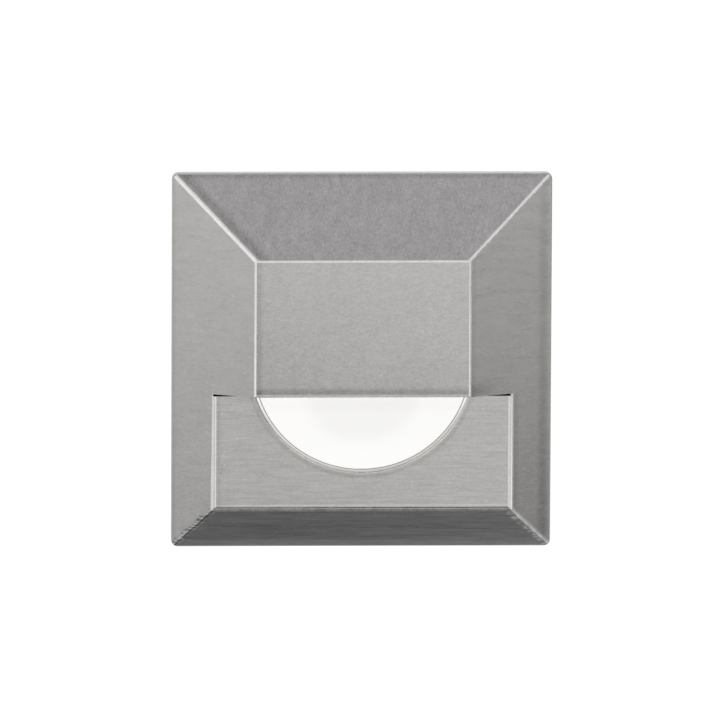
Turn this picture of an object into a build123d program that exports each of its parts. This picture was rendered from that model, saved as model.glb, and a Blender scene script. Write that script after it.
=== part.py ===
from build123d import *
import math
import os

# Recessed LED step light: a square bevelled faceplate of brushed stainless steel,
# whose lower half steps back under a hood to show a half-moon of the round lens.
# Behind it a round body holds the reflector, the LED board, its heat sink and the
# driver, and two sprung wings hold the body in the hole in the wall.
#
# Millimetres. +Z is up, the face looks toward -Y, and +Y runs into the wall.
# The origin is on the light's own axis, in the plane of the wall's surface,
# which the back of the wall gasket lies on.

# ---------------------------------------------------------------- driving dimensions
# Faceplate
face_size = 57.0
face_corner_r = 1.0
skirt_height = 1.4
bevel_run = 12.4
bevel_rise = 5.6
panel_corner_r = 0.35
ridge_r = 1.0
step_run = 6.17
step_edge_r = 1.7
lip_drop = 4.65
relief_width = 0.35
relief_depth = 1.2
hood_roof = 1.4
window_r = 16.65
window_chamfer = 0.3
seat_depth = 2.6
tapped_depth = 3.0

# Wall gasket
gasket_thk = 0.8
gasket_inset = 1.0
gasket_corner_r = 1.5
gasket_hole_gap = 0.1

# Lens and its gasket
window_gap = 0.3
lens_below_floor = 0.28
lens_edge_r = 0.25
lens_flange_width = 2.05
lens_flange_thk = 1.5
lens_rim_width = 1.15
lens_gasket_thk = 0.5
seat_clearance = 0.2

# Reflector
reflector_flange_thk = 1.2
reflector_depth = 10.6
reflector_led_gap = 1.62
reflector_wall = 1.0

# LED board, its packages and the pad behind it
led_board_gap = 1.7
led_board_thk = 1.2
led_size = 2.8
led_height = 0.7
led_ring_inset = 7.6
led_ring_count = 6
led_screw_inset = 2.7
pad_thk = 0.5
pad_inset = 0.5

# Heat sink
sink_base_thk = 4.0
sink_clearance = 0.1
fin_thk = 1.2
fin_pitch = 4.0
fin_count = 7
fin_length = 6.3
fin_gap = 0.3

# Body
reflector_ledge = 1.2
sink_ledge = 1.7
o_ring_wall = 0.6
o_ring_groove_width = 1.1
o_ring_groove_depth = 0.75
o_ring_squeeze = 0.1
o_ring_corner_r = 0.32
groove_to_hole = 0.4
flange_wall = 1.3
flange_depth = 3.2
spigot_step = 0.5
head_to_barrel = 0.35
flat_depth = 1.0
flat_margin = 1.1

# Driver board and what stands on it
fins_to_driver = 4.4
driver_edge_gap = 1.0
driver_thk = 1.6
driver_bay_gap = 0.8
boss_r = 3.0
boss_height = 3.9
boss_inset = 2.9
boss_angles = (30, 150, 270)
boss_tap_depth = 3.2
terminal_width = 10.0
terminal_depth = 7.2
terminal_height = 7.0
terminal_inset = 5.9
terminal_pitch = 5.0
terminal_port_r = 1.5
terminal_screw_r = 1.3
terminal_screw_height = 0.8
capacitor_r = 3.15
capacitor_height = 7.0
capacitor_inset = 5.68
capacitor_angle = -33
inductor_r = 3.0
inductor_height = 5.0
inductor_inset = 5.85
inductor_angle = 213.7
inductor_flange = 0.8
inductor_core_r = 1.4
winding_gap = 0.1
capacitor_edge_r = 0.3
film_size = (7.2, 3.4)
film_height = 6.0
film_spot = (0.0, 1.2)
rectifier_size = (4.6, 4.0)
rectifier_height = 2.4
rectifier_inset = 4.5
rectifier_z = 1.2
chip_size = (5.0, 4.0)
chip_height = 1.6
chip_spot = (0.0, -5.6)

# Leads from the driver board to the LED board
lead_r = 0.6
lead_spacing = 3.0
lead_wall_gap = 0.3
lead_step = 2.4
lead_loop = 1.9
lead_bend_r = 1.0
notch_width = 5.2
notch_gap = 0.4

# Small screws, M2 with a pan head
screw_r = 0.95
screw_tap_r = 1.0
screw_hole_r = 1.1
screw_head_r = 1.75
screw_head_height = 1.2
screw_cross = (1.9, 0.5)
screw_cross_depth = 0.6
screw_crown = 0.3
screw_tip_gap = 0.3

# Rear cap and its O-ring
cap_thk = 3.0
cap_edge = 0.5
cap_spigot_length = 3.0
cap_spigot_gap = 0.1
cap_spigot_wall = 2.9
cap_ring_groove_depth = 0.8
cap_ring_groove_width = 1.3
cap_ring_inset = 0.9
cap_ring_ease = 0.02
cap_screw_angles = (90, 210, 330)
cap_screw_depth = 5.0

# Cable gland
gland_hex_width = 15.0
gland_hex_wall = 1.55
gland_hole_gap = 0.1
gland_tube_wall = 2.55
gland_cup_wall = 1.35
gland_cup_depth = 6.0
gland_hex_height = 4.5
gland_stub_height = 6.0
gland_washer_inset = 0.5
gland_washer_thk = 1.0
locknut_height = 3.0
gland_nut_gap = 0.6
gland_nut_hex = 6.0
gland_nut_dome = 4.0
gland_nut_lip = 0.7
gland_nut_rim = 0.8
gland_nut_taper = 2.5
seal_gap = 0.1
seal_wall = 1.75
seal_proud = 2.9
seal_bevel = 0.6

# Retaining wings, their brackets, hinge pins and springs
bracket_thk = 0.8
bracket_half_width = 6.0
bracket_length = 14.0
bracket_setback = 4.0
bracket_ear_r = 2.0
bracket_ear_foot = 3.6
bracket_screw_inset = 2.6
bracket_tap_depth = 2.4
bracket_screw_gap = 0.2
pivot_setback = 8.0
pivot_gap = 0.2
pin_r = 0.98
pin_fit = 0.02
wing_fit = 0.05
rivet_lip = 0.52
rivet_height = 0.5
wing_side_gap = 0.2
wing_thk = 0.7
wing_angle = 24.0
wing_length = 12.5
wing_lip = 2.0
wing_lip_angle = 35.0
wing_bend_r = 1.2
wing_root = 2.5
wing_ear_r = 2.0
wing_ear_length = 7.0
wing_heel_gap = 0.05
wing_heel_start = 0.4
wing_heel_end = 2.2
spring_wire_r = 0.25
spring_pin_gap = 0.22
spring_coil_gap = 0.45
spring_turns = 5
spring_touch_gap = 0.04
spring_wing_leg = 6.5
spring_base_leg = 5.0

# ---------------------------------------------------------------- worked-out sizes
# Depths, from the room into the wall
face_back_y = -gasket_thk
panel_y = face_back_y - skirt_height - bevel_rise
step_height = skirt_height + bevel_rise * step_run / bevel_run
floor_y = face_back_y - step_height
seat_y = face_back_y - seat_depth
lens_front_y = floor_y + lens_below_floor
lens_flange_y = seat_y + lens_gasket_thk
lens_back_y = lens_flange_y + lens_flange_thk
reflector_seat_y = lens_back_y + reflector_flange_thk
led_board_y = lens_back_y + reflector_depth
pad_y = led_board_y + led_board_thk
sink_y = pad_y + pad_thk
sink_seat_y = sink_y + sink_base_thk
fin_end_y = sink_seat_y + fin_length
driver_y = fin_end_y + fins_to_driver
driver_back_y = driver_y + driver_thk
driver_bay = max(terminal_height, capacitor_height) + driver_bay_gap
rim_y = driver_back_y + driver_bay + max(locknut_height, cap_spigot_length)
cap_back_y = rim_y + cap_thk
gland_hex_y = cap_back_y + gland_washer_thk
gland_stub_y = gland_hex_y + gland_hex_height
gland_end_y = gland_stub_y + gland_stub_height
gland_nut_y = gland_stub_y + gland_nut_gap
bracket_end = rim_y - bracket_setback
bracket_start = bracket_end - bracket_length
pivot_y = bracket_end - pivot_setback
flat_start = bracket_start - flat_margin
flat_end = bracket_end + flat_margin

# Radii, from the lens out and from the body in
lens_r = window_r - window_gap
lens_flange_r = lens_r + lens_flange_width
lens_hollow_r = lens_r - lens_rim_width
seat_r = lens_flange_r + seat_clearance
reflector_flange_r = lens_flange_r - seat_clearance
recess_r = reflector_flange_r + seat_clearance
front_bore_r = recess_r - reflector_ledge
rear_bore_r = front_bore_r - sink_ledge
led_board_r = front_bore_r - led_board_gap
led_screw_r = led_board_r - led_screw_inset
led_ring_r = led_screw_r - led_ring_inset
reflector_rear_r = led_ring_r + led_size / math.sqrt(2) + reflector_led_gap
driver_r = rear_bore_r - driver_edge_gap
boss_circle_r = rear_bore_r - boss_inset
groove_in_r = recess_r + o_ring_wall
groove_out_r = groove_in_r + o_ring_groove_width
face_screw_circle_r = groove_out_r + groove_to_hole + screw_hole_r
flange_r = face_screw_circle_r + screw_hole_r + flange_wall
spigot_r = flange_r + spigot_step
barrel_r = face_screw_circle_r - screw_head_r - head_to_barrel
gasket_hole_r = spigot_r + gasket_hole_gap
cap_screw_circle_r = (rear_bore_r + barrel_r) / 2
flat_x = barrel_r - flat_depth
bracket_face_x = flat_x + bracket_thk
gland_thread_r = gland_hex_width / 2 - gland_hex_wall
gland_hole_r = gland_thread_r + gland_hole_gap
gland_bore_r = gland_thread_r - gland_tube_wall
gland_cup_r = gland_thread_r - gland_cup_wall
gland_nut_mouth_r = gland_cup_r - gland_nut_lip
pivot_height = wing_ear_r + pivot_gap
pivot_x = bracket_face_x + pivot_height
rivet_r = pin_r + rivet_lip
spring_mean_r = pin_r + spring_pin_gap + spring_wire_r
spring_pitch = 2 * spring_wire_r + spring_coil_gap
lead_z = rear_bore_r - lead_wall_gap - lead_r
lead_pad_z = lead_z - lead_step
notch_z = lead_z - lead_r - notch_gap

face_screw_angles = (45, 135, 225, 315)
same_place = 1e-6


# ---------------------------------------------------------------- helpers
def front_at(y):
    """The plane at depth y that faces the room; its own x and y are X and Z."""
    return Plane.XZ.offset(-y)


def rear_at(y):
    """The plane at depth y that faces into the wall; its own x runs toward -X."""
    return Plane(origin=(0, y, 0), x_dir=(-1, 0, 0), z_dir=(0, 1, 0))


def ring_spots(radius, angles):
    """Points on a circle, one for each angle in degrees."""
    return [
        (radius * math.cos(math.radians(a)), radius * math.sin(math.radians(a)))
        for a in angles
    ]


def spin(*corners):
    """Adds the solid that the outline (radius, depth) sweeps round the light's axis."""
    with BuildSketch(Plane.XY) as profile:
        Polygon(*corners, align=None)
    revolve(profile.sketch, axis=Axis.Y)


def holes(plane, spots, radius, depth):
    """Takes round holes down from the plane."""
    with BuildSketch(plane) as mouths:
        with Locations(*spots):
            Circle(radius)
    extrude(mouths.sketch, amount=-depth, mode=Mode.SUBTRACT)


def save(piece, label):
    piece.label = label
    export_step(piece, f"parts/{label}.step")


def pan_screws(plane, spots, length):
    """Pan-head screws whose heads sit on the plane and whose shanks run below it."""
    with BuildPart() as group:
        with BuildSketch(plane):
            with Locations(*spots):
                Circle(screw_head_r)
        extrude(amount=screw_head_height)
        top_plane = plane.offset(screw_head_height)
        crowns = [
            edge
            for edge in group.edges().filter_by(GeomType.CIRCLE)
            if abs(top_plane.to_local_coords(edge.arc_center).Z) < same_place
        ]
        fillet(crowns, screw_crown)
        with BuildSketch(top_plane):
            with Locations(*spots):
                Rectangle(*screw_cross)
                Rectangle(*reversed(screw_cross))
        extrude(amount=-screw_cross_depth, mode=Mode.SUBTRACT)
        with BuildSketch(plane):
            with Locations(*spots):
                Circle(screw_r)
        extrude(amount=-length)
    return group.part


os.makedirs("parts", exist_ok=True)

# ---------------------------------------------------------------- faceplate
with BuildPart() as faceplate:
    with BuildSketch(front_at(face_back_y)):
        RectangleRounded(face_size, face_size, face_corner_r)
    extrude(amount=skirt_height)
    # The four bevels rise to the square panel.
    with BuildSketch(front_at(face_back_y - skirt_height)):
        RectangleRounded(face_size, face_size, face_corner_r)
    with BuildSketch(front_at(panel_y)):
        panel_size = face_size - 2 * bevel_run
        RectangleRounded(panel_size, panel_size, panel_corner_r)
    loft(ruled=True)
    fillet(faceplate.faces().sort_by(Axis.Y)[0].edges(), ridge_r)
    # The lower part steps back to the floor, under the hood's lip.
    with BuildSketch(front_at(floor_y)):
        with Locations((0, -lip_drop)):
            Rectangle(face_size, face_size, align=(Align.CENTER, Align.MAX))
    extrude(amount=floor_y - panel_y, mode=Mode.SUBTRACT)
    floor = faceplate.faces().filter_by(Axis.Y).filter_by_position(Axis.Y, floor_y, floor_y)
    fillet(floor.edges().sort_by(Axis.Z)[:-1], step_edge_r)
    # A relief groove runs along the foot of the step.
    with BuildSketch(front_at(floor_y)):
        with Locations((0, -lip_drop)):
            floor_width = face_size - 2 * step_run
            Rectangle(floor_width, relief_width, align=(Align.CENTER, Align.MAX))
    extrude(amount=-relief_depth, mode=Mode.SUBTRACT)
    # The window goes through the floor and leaves a roof over the hooded part.
    with BuildSketch(front_at(face_back_y)):
        Circle(window_r)
    extrude(amount=face_back_y - panel_y - hood_roof, mode=Mode.SUBTRACT)
    rim = [
        edge
        for edge in faceplate.edges().filter_by(GeomType.CIRCLE)
        if abs(edge.center().Y - floor_y) < same_place and abs(edge.radius - window_r) < same_place
    ]
    chamfer(rim, window_chamfer)
    with BuildSketch(front_at(face_back_y)):
        Circle(seat_r)
    extrude(amount=seat_depth, mode=Mode.SUBTRACT)
    holes(
        rear_at(face_back_y),
        ring_spots(face_screw_circle_r, face_screw_angles),
        screw_tap_r,
        tapped_depth,
    )
save(faceplate.part, "faceplate")

# ---------------------------------------------------------------- wall gasket
with BuildPart() as wall_gasket:
    with BuildSketch(front_at(0)):
        gasket_size = face_size - 2 * gasket_inset
        RectangleRounded(gasket_size, gasket_size, gasket_corner_r)
        Circle(gasket_hole_r, mode=Mode.SUBTRACT)
    extrude(amount=gasket_thk)
save(wall_gasket.part, "wall_gasket")

# ---------------------------------------------------------------- lens and its gasket
with BuildPart() as lens:
    spin(
        (0, lens_front_y),
        (lens_r, lens_front_y),
        (lens_r, lens_flange_y),
        (lens_flange_r, lens_flange_y),
        (lens_flange_r, lens_back_y),
        (lens_hollow_r, lens_back_y),
        (lens_hollow_r, lens_flange_y),
        (0, lens_flange_y),
    )
    fillet(lens.edges().group_by(Axis.Y)[0], lens_edge_r)
save(lens.part, "lens")

with BuildPart() as lens_gasket:
    with BuildSketch(front_at(lens_flange_y)):
        Circle(lens_flange_r)
        Circle(window_r + gasket_hole_gap, mode=Mode.SUBTRACT)
    extrude(amount=lens_gasket_thk)
save(lens_gasket.part, "lens_gasket")

# ---------------------------------------------------------------- reflector
with BuildPart() as reflector:
    spin(
        (lens_hollow_r, lens_back_y),
        (reflector_flange_r, lens_back_y),
        (reflector_flange_r, reflector_seat_y),
        (lens_hollow_r + reflector_wall, reflector_seat_y),
        (reflector_rear_r + reflector_wall, led_board_y),
        (reflector_rear_r, led_board_y),
    )
save(reflector.part, "reflector")

# ---------------------------------------------------------------- LED board
led_screw_spots = [(led_screw_r, 0), (-led_screw_r, 0)]


def lead_notch(y, thickness):
    """Cuts the notch that the leads pass through, in a disc whose front is at y."""
    with BuildSketch(front_at(y)) as notch:
        with Locations((0, notch_z)):
            Rectangle(notch_width, front_bore_r, align=(Align.CENTER, Align.MIN))
    extrude(notch.sketch, amount=-thickness, mode=Mode.SUBTRACT)


with BuildPart() as led_board:
    with BuildSketch(front_at(pad_y)):
        Circle(led_board_r)
    extrude(amount=led_board_thk)
    holes(front_at(led_board_y), led_screw_spots, screw_hole_r, led_board_thk)
    lead_notch(led_board_y, led_board_thk)
save(led_board.part, "led_board")

with BuildPart() as led_packages:
    with BuildSketch(front_at(led_board_y)):
        Rectangle(led_size, led_size)
        with PolarLocations(led_ring_r, led_ring_count, rotate=False):
            Rectangle(led_size, led_size)
    extrude(amount=led_height)
save(led_packages.part, "led_packages")

led_screw_length = led_board_thk + pad_thk + tapped_depth - screw_tip_gap
save(pan_screws(front_at(led_board_y), led_screw_spots, led_screw_length), "led_board_screws")

with BuildPart() as thermal_pad:
    with BuildSketch(front_at(sink_y)):
        Circle(led_board_r - pad_inset)
    extrude(amount=pad_thk)
    holes(front_at(pad_y), led_screw_spots, screw_hole_r + seat_clearance, pad_thk)
    lead_notch(pad_y, pad_thk)
save(thermal_pad.part, "thermal_pad")

# ---------------------------------------------------------------- heat sink
with BuildPart() as heat_sink:
    with BuildSketch(front_at(sink_seat_y)):
        Circle(front_bore_r - sink_clearance)
    extrude(amount=sink_base_thk)
    with BuildSketch(front_at(sink_seat_y)):
        with GridLocations(fin_pitch, 0, fin_count, 1):
            Rectangle(fin_thk, 2 * rear_bore_r)
        Circle(rear_bore_r - fin_gap, mode=Mode.INTERSECT)
    extrude(amount=-fin_length)
    holes(front_at(sink_y), led_screw_spots, screw_tap_r, tapped_depth)
    lead_notch(sink_y, sink_base_thk + fin_length)
save(heat_sink.part, "heat_sink")

# ---------------------------------------------------------------- body
boss_spots = ring_spots(boss_circle_r, boss_angles)
bracket_screw_ys = (bracket_start + bracket_screw_inset, bracket_end - bracket_screw_inset)


def side_face(side, x):
    """The plane x from the axis that faces out on one side; its own x runs along +Y."""
    return Plane(origin=(side * x, 0, 0), x_dir=(0, 1, 0), z_dir=(side, 0, 0))


with BuildPart() as body:
    spin(
        (recess_r, face_back_y),
        (flange_r, face_back_y),
        (flange_r, 0),
        (spigot_r, 0),
        (spigot_r, flange_depth),
        (barrel_r, flange_depth),
        (barrel_r, rim_y),
        (rear_bore_r, rim_y),
        (rear_bore_r, sink_seat_y),
        (front_bore_r, sink_seat_y),
        (front_bore_r, reflector_seat_y),
        (recess_r, reflector_seat_y),
    )
    # The O-ring's groove and the screw holes are in the flange.
    with BuildSketch(front_at(face_back_y)):
        Circle(groove_out_r)
        Circle(groove_in_r, mode=Mode.SUBTRACT)
    extrude(amount=-o_ring_groove_depth, mode=Mode.SUBTRACT)
    holes(
        front_at(face_back_y),
        ring_spots(face_screw_circle_r, face_screw_angles),
        screw_hole_r,
        flange_depth + gasket_thk,
    )
    # Bosses for the driver board stand off the bore's wall.
    with BuildSketch(rear_at(driver_y)):
        with Locations(*boss_spots):
            Circle(boss_r)
        Circle((rear_bore_r + barrel_r) / 2, mode=Mode.INTERSECT)
    extrude(amount=-boss_height)
    holes(rear_at(driver_y), boss_spots, screw_tap_r, boss_tap_depth)
    holes(
        rear_at(rim_y),
        ring_spots(cap_screw_circle_r, cap_screw_angles),
        screw_tap_r,
        cap_screw_depth,
    )
    # A flat on each side carries a wing's bracket.
    for side in (1, -1):
        with BuildSketch(side_face(side, flat_x)):
            with Locations(((flat_start + flat_end) / 2, 0)):
                Rectangle(flat_end - flat_start, 2 * barrel_r)
        extrude(amount=2 * flat_depth, mode=Mode.SUBTRACT)
        holes(
            side_face(side, flat_x),
            [(y, 0) for y in bracket_screw_ys],
            screw_tap_r,
            bracket_tap_depth,
        )
save(body.part, "body")

with BuildPart() as face_o_ring:
    ring_section = o_ring_groove_width - 2 * o_ring_squeeze
    with BuildSketch(Plane.XY):
        with Locations(((groove_in_r + groove_out_r) / 2, face_back_y + o_ring_groove_depth / 2)):
            RectangleRounded(ring_section, o_ring_groove_depth, o_ring_corner_r)
    revolve(axis=Axis.Y)
save(face_o_ring.part, "face_o_ring")

face_screw_length = flange_depth + gasket_thk + tapped_depth - screw_tip_gap
save(
    pan_screws(
        rear_at(flange_depth),
        ring_spots(face_screw_circle_r, face_screw_angles),
        face_screw_length,
    ),
    "face_screws",
)

# ---------------------------------------------------------------- driver board
with BuildPart() as driver_board:
    with BuildSketch(rear_at(driver_y)):
        Circle(driver_r)
        with Locations(*boss_spots):
            Circle(screw_hole_r, mode=Mode.SUBTRACT)
    extrude(amount=driver_thk)
save(driver_board.part, "driver_board")

driver_screw_length = driver_thk + boss_tap_depth - screw_tip_gap
save(pan_screws(rear_at(driver_back_y), boss_spots, driver_screw_length), "driver_board_screws")

terminal_z = driver_r - terminal_inset

with BuildPart() as terminal_block:
    terminal_ports = [(-terminal_pitch / 2, terminal_z), (terminal_pitch / 2, terminal_z)]
    with BuildSketch(rear_at(driver_back_y)):
        with Locations((0, terminal_z)):
            Rectangle(terminal_width, terminal_depth)
    extrude(amount=terminal_height)
    chamfer(terminal_block.edges().filter_by(Axis.X).group_by(Axis.Y)[-1], seat_clearance)
    holes(
        rear_at(driver_back_y + terminal_height),
        terminal_ports,
        terminal_screw_r + winding_gap,
        2 * terminal_screw_height,
    )
    # The cores go in at the side that faces down.
    entry = Plane(
        origin=(0, driver_back_y, terminal_z - terminal_depth / 2),
        x_dir=(1, 0, 0),
        z_dir=(0, 0, -1),
    )
    holes(
        entry,
        [(x, -terminal_height / 2) for x, z in terminal_ports],
        terminal_port_r,
        terminal_depth / 2,
    )
save(terminal_block.part, "terminal_block")

with BuildPart() as terminal_screws:
    screw_floor_y = driver_back_y + terminal_height - 2 * terminal_screw_height
    with BuildSketch(rear_at(screw_floor_y)):
        with Locations(*terminal_ports):
            Circle(terminal_screw_r)
    extrude(amount=terminal_screw_height)
    with BuildSketch(rear_at(screw_floor_y + terminal_screw_height)):
        with Locations(*terminal_ports):
            Rectangle(2 * terminal_screw_r, screw_cross[1])
    extrude(amount=-terminal_screw_height / 2, mode=Mode.SUBTRACT)
save(terminal_screws.part, "terminal_screws")

capacitor_spot = ring_spots(driver_r - capacitor_inset, [capacitor_angle])[0]
with BuildPart() as capacitor:
    with BuildSketch(rear_at(driver_back_y)):
        with Locations(capacitor_spot):
            Circle(capacitor_r)
    extrude(amount=capacitor_height)
    fillet(capacitor.edges().filter_by(GeomType.CIRCLE), capacitor_edge_r)
save(capacitor.part, "capacitor")

with BuildPart() as film_capacitor:
    with BuildSketch(rear_at(driver_back_y)):
        with Locations(film_spot):
            Rectangle(*film_size)
    extrude(amount=film_height)
    chamfer(film_capacitor.faces().sort_by(Axis.Y)[-1].edges(), seat_clearance)
save(film_capacitor.part, "film_capacitor")

with BuildPart() as rectifier:
    with BuildSketch(rear_at(driver_back_y)):
        with Locations((driver_r - rectifier_inset, rectifier_z)):
            Rectangle(*rectifier_size)
    extrude(amount=rectifier_height)
    chamfer(rectifier.faces().sort_by(Axis.Y)[-1].edges(), seat_clearance)
save(rectifier.part, "rectifier")

with BuildPart() as driver_chip:
    with BuildSketch(rear_at(driver_back_y)):
        with Locations(chip_spot):
            Rectangle(*chip_size)
    extrude(amount=chip_height)
    chamfer(driver_chip.faces().sort_by(Axis.Y)[-1].edges(), seat_clearance)
save(driver_chip.part, "driver_chip")

# A ferrite bobbin with a copper winding between its two flanges.
inductor_spot = ring_spots(driver_r - inductor_inset, [inductor_angle])[0]
with BuildPart() as inductor_core:
    with BuildSketch(rear_at(driver_back_y)):
        with Locations(inductor_spot):
            Circle(inductor_r)
    extrude(amount=inductor_flange)
    with BuildSketch(rear_at(driver_back_y)):
        with Locations(inductor_spot):
            Circle(inductor_core_r)
    extrude(amount=inductor_height)
    with BuildSketch(rear_at(driver_back_y + inductor_height)):
        with Locations(inductor_spot):
            Circle(inductor_r)
    extrude(amount=-inductor_flange)
save(inductor_core.part, "inductor_core")

with BuildPart() as inductor_winding:
    with BuildSketch(rear_at(driver_back_y + inductor_flange)):
        with Locations(inductor_spot):
            Circle(inductor_r - 2 * winding_gap)
            Circle(inductor_core_r + winding_gap, mode=Mode.SUBTRACT)
    extrude(amount=inductor_height - 2 * inductor_flange)
save(inductor_winding.part, "inductor_winding")


# ---------------------------------------------------------------- leads
def lead(x):
    """An insulated lead from the LED board, up through the notches, to the driver."""
    with BuildPart() as tube:
        with BuildLine():
            FilletPolyline(
                (x, led_board_y, lead_pad_z),
                (x, led_board_y - lead_loop, lead_pad_z),
                (x, led_board_y - lead_loop, lead_z),
                (x, driver_y - lead_loop, lead_z),
                (x, driver_y - lead_loop, lead_pad_z),
                (x, driver_y, lead_pad_z),
                radius=lead_bend_r,
            )
        with BuildSketch(Plane(origin=(x, led_board_y, lead_pad_z), z_dir=(0, -1, 0))):
            Circle(lead_r)
        sweep()
    return tube.part


save(lead(lead_spacing / 2), "lead_red")
save(lead(-lead_spacing / 2), "lead_black")

# ---------------------------------------------------------------- rear cap
cap_spigot_r = rear_bore_r - cap_spigot_gap
cap_groove_r = cap_spigot_r - cap_ring_groove_depth
cap_groove_y = rim_y - cap_ring_inset - cap_ring_groove_width

with BuildPart() as rear_cap:
    spin(
        (gland_hole_r, rim_y),
        (cap_spigot_r - cap_spigot_wall, rim_y),
        (cap_spigot_r - cap_spigot_wall, rim_y - cap_spigot_length),
        (cap_spigot_r, rim_y - cap_spigot_length),
        (cap_spigot_r, cap_groove_y),
        (cap_groove_r, cap_groove_y),
        (cap_groove_r, cap_groove_y + cap_ring_groove_width),
        (cap_spigot_r, cap_groove_y + cap_ring_groove_width),
        (cap_spigot_r, rim_y),
        (barrel_r, rim_y),
        (barrel_r, cap_back_y),
        (gland_hole_r, cap_back_y),
    )
    outer_edge = rear_cap.edges().group_by(Axis.Y)[-1].sort_by(SortBy.RADIUS)[-1]
    chamfer(outer_edge, cap_edge)
    holes(
        rear_at(cap_back_y),
        ring_spots(cap_screw_circle_r, cap_screw_angles),
        screw_hole_r,
        cap_thk,
    )
save(rear_cap.part, "rear_cap")

with BuildPart() as cap_o_ring:
    with BuildSketch(Plane.XY):
        with Locations(
            ((cap_groove_r + rear_bore_r) / 2, cap_groove_y + cap_ring_groove_width / 2)
        ):
            Circle((rear_bore_r - cap_groove_r) / 2 - cap_ring_ease)
    revolve(axis=Axis.Y)
save(cap_o_ring.part, "cap_o_ring")

save(
    pan_screws(
        rear_at(cap_back_y),
        ring_spots(cap_screw_circle_r, cap_screw_angles),
        cap_thk + cap_screw_depth - screw_tip_gap,
    ),
    "cap_screws",
)

# ---------------------------------------------------------------- cable gland
with BuildPart() as gland_washer:
    with BuildSketch(rear_at(cap_back_y)):
        Circle(gland_hex_width / 2 - gland_washer_inset)
        Circle(gland_hole_r, mode=Mode.SUBTRACT)
    extrude(amount=gland_washer_thk)
save(gland_washer.part, "gland_washer")

with BuildPart() as gland_body:
    with BuildSketch(rear_at(rim_y - locknut_height)):
        Circle(gland_thread_r)
    extrude(amount=gland_end_y - rim_y + locknut_height)
    with BuildSketch(rear_at(gland_hex_y)):
        RegularPolygon(gland_hex_width / 2, 6, major_radius=False)
    extrude(amount=gland_hex_height)
    with BuildSketch(rear_at(gland_end_y)):
        Circle(gland_bore_r)
    extrude(amount=rim_y - locknut_height - gland_end_y, mode=Mode.SUBTRACT)
    with BuildSketch(rear_at(gland_end_y)):
        Circle(gland_cup_r)
    extrude(amount=-gland_cup_depth, mode=Mode.SUBTRACT)
save(gland_body.part, "gland_body")

with BuildPart() as gland_locknut:
    with BuildSketch(rear_at(rim_y)):
        RegularPolygon(gland_hex_width / 2, 6, major_radius=False)
        Circle(gland_hole_r, mode=Mode.SUBTRACT)
    extrude(amount=-locknut_height)
save(gland_locknut.part, "gland_locknut")

seal_r = gland_cup_r - seal_gap
seal_bore_r = seal_r - seal_wall
seal_start_y = gland_end_y - gland_cup_depth
seal_end_y = gland_end_y + seal_proud
with BuildPart() as gland_seal:
    spin(
        (seal_bore_r, seal_start_y),
        (seal_r, seal_start_y),
        (seal_r, seal_end_y - seal_bevel),
        (seal_r - seal_bevel, seal_end_y),
        (seal_bore_r, seal_end_y),
    )
save(gland_seal.part, "gland_seal")

nut_shoulder_y = gland_nut_y + gland_nut_hex
nut_end_y = nut_shoulder_y + gland_nut_dome
with BuildPart() as gland_nut:
    with BuildSketch(rear_at(gland_nut_y)):
        RegularPolygon(gland_hex_width / 2, 6, major_radius=False)
    extrude(amount=gland_nut_hex)
    spin(
        (0, nut_shoulder_y),
        (gland_hex_width / 2, nut_shoulder_y),
        (gland_hex_width / 2 - gland_nut_taper, nut_end_y),
        (0, nut_end_y),
    )
    fillet(gland_nut.faces().sort_by(Axis.Y)[-1].edges(), gland_nut_rim)
    with BuildSketch(Plane.XY):
        Polygon(
            (0, gland_nut_y),
            (gland_hole_r, gland_nut_y),
            (gland_hole_r, nut_shoulder_y),
            (gland_nut_mouth_r, nut_end_y - gland_nut_rim),
            (gland_nut_mouth_r, nut_end_y),
            (0, nut_end_y),
            align=None,
        )
    revolve(axis=Axis.Y, mode=Mode.SUBTRACT)
save(gland_nut.part, "gland_nut")

# ---------------------------------------------------------------- retaining wings
# Everything here is drawn for one side in (distance from the axis, depth); the other
# side is the same set turned half a turn about the light's axis.
alpha = math.radians(wing_angle)
wing_dir = Vector(math.sin(alpha), -math.cos(alpha))


def side_plan(side):
    """The plane across the hinge pin; its own x runs outward and its own y along +Y."""
    return Plane(origin=(0, 0, 0), x_dir=(side, 0, 0), z_dir=(0, 0, side))


def wing_plan(side):
    """The plane across the pin whose own x runs from the pin toward the wing's tip."""
    origin = side_plan(side).from_local_coords(Vector(pivot_x, pivot_y, 0))
    x_dir = (side * wing_dir.X, wing_dir.Y, 0)
    return Plane(origin=origin, x_dir=x_dir, z_dir=(0, 0, side))


def both_ears(plan, inner, thickness, draw):
    """Extrudes the drawn sketch as two ears, the same distance either side of the plan."""
    for start, amount in ((inner, thickness), (-inner, -thickness)):
        with BuildSketch(plan.offset(start)) as outline:
            draw()
        extrude(outline.sketch, amount=amount)


def bracket(side):
    """A folded plate on the body's flat, with two ears that hold the hinge pin."""
    plan = side_plan(side)

    def ear():
        with Locations((pivot_x, pivot_y)):
            Circle(bracket_ear_r)
        with Locations((flat_x, pivot_y)):
            Rectangle(bracket_thk, 2 * bracket_ear_foot, align=(Align.MIN, Align.CENTER))
        make_hull()

    with BuildPart() as folded:
        with BuildSketch(side_face(side, flat_x)):
            with Locations(((bracket_start + bracket_end) / 2, 0)):
                Rectangle(bracket_end - bracket_start, 2 * bracket_half_width)
        extrude(amount=bracket_thk)
        both_ears(plan, bracket_half_width - bracket_thk, bracket_thk, ear)
        with BuildSketch(plan.offset(-bracket_half_width)):
            with Locations((pivot_x, pivot_y)):
                Circle(pin_r + pin_fit)
        extrude(amount=2 * bracket_half_width, mode=Mode.SUBTRACT)
        holes(
            side_face(side, bracket_face_x),
            [(y, 0) for y in bracket_screw_ys],
            screw_hole_r,
            bracket_thk,
        )
    return folded.part


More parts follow.
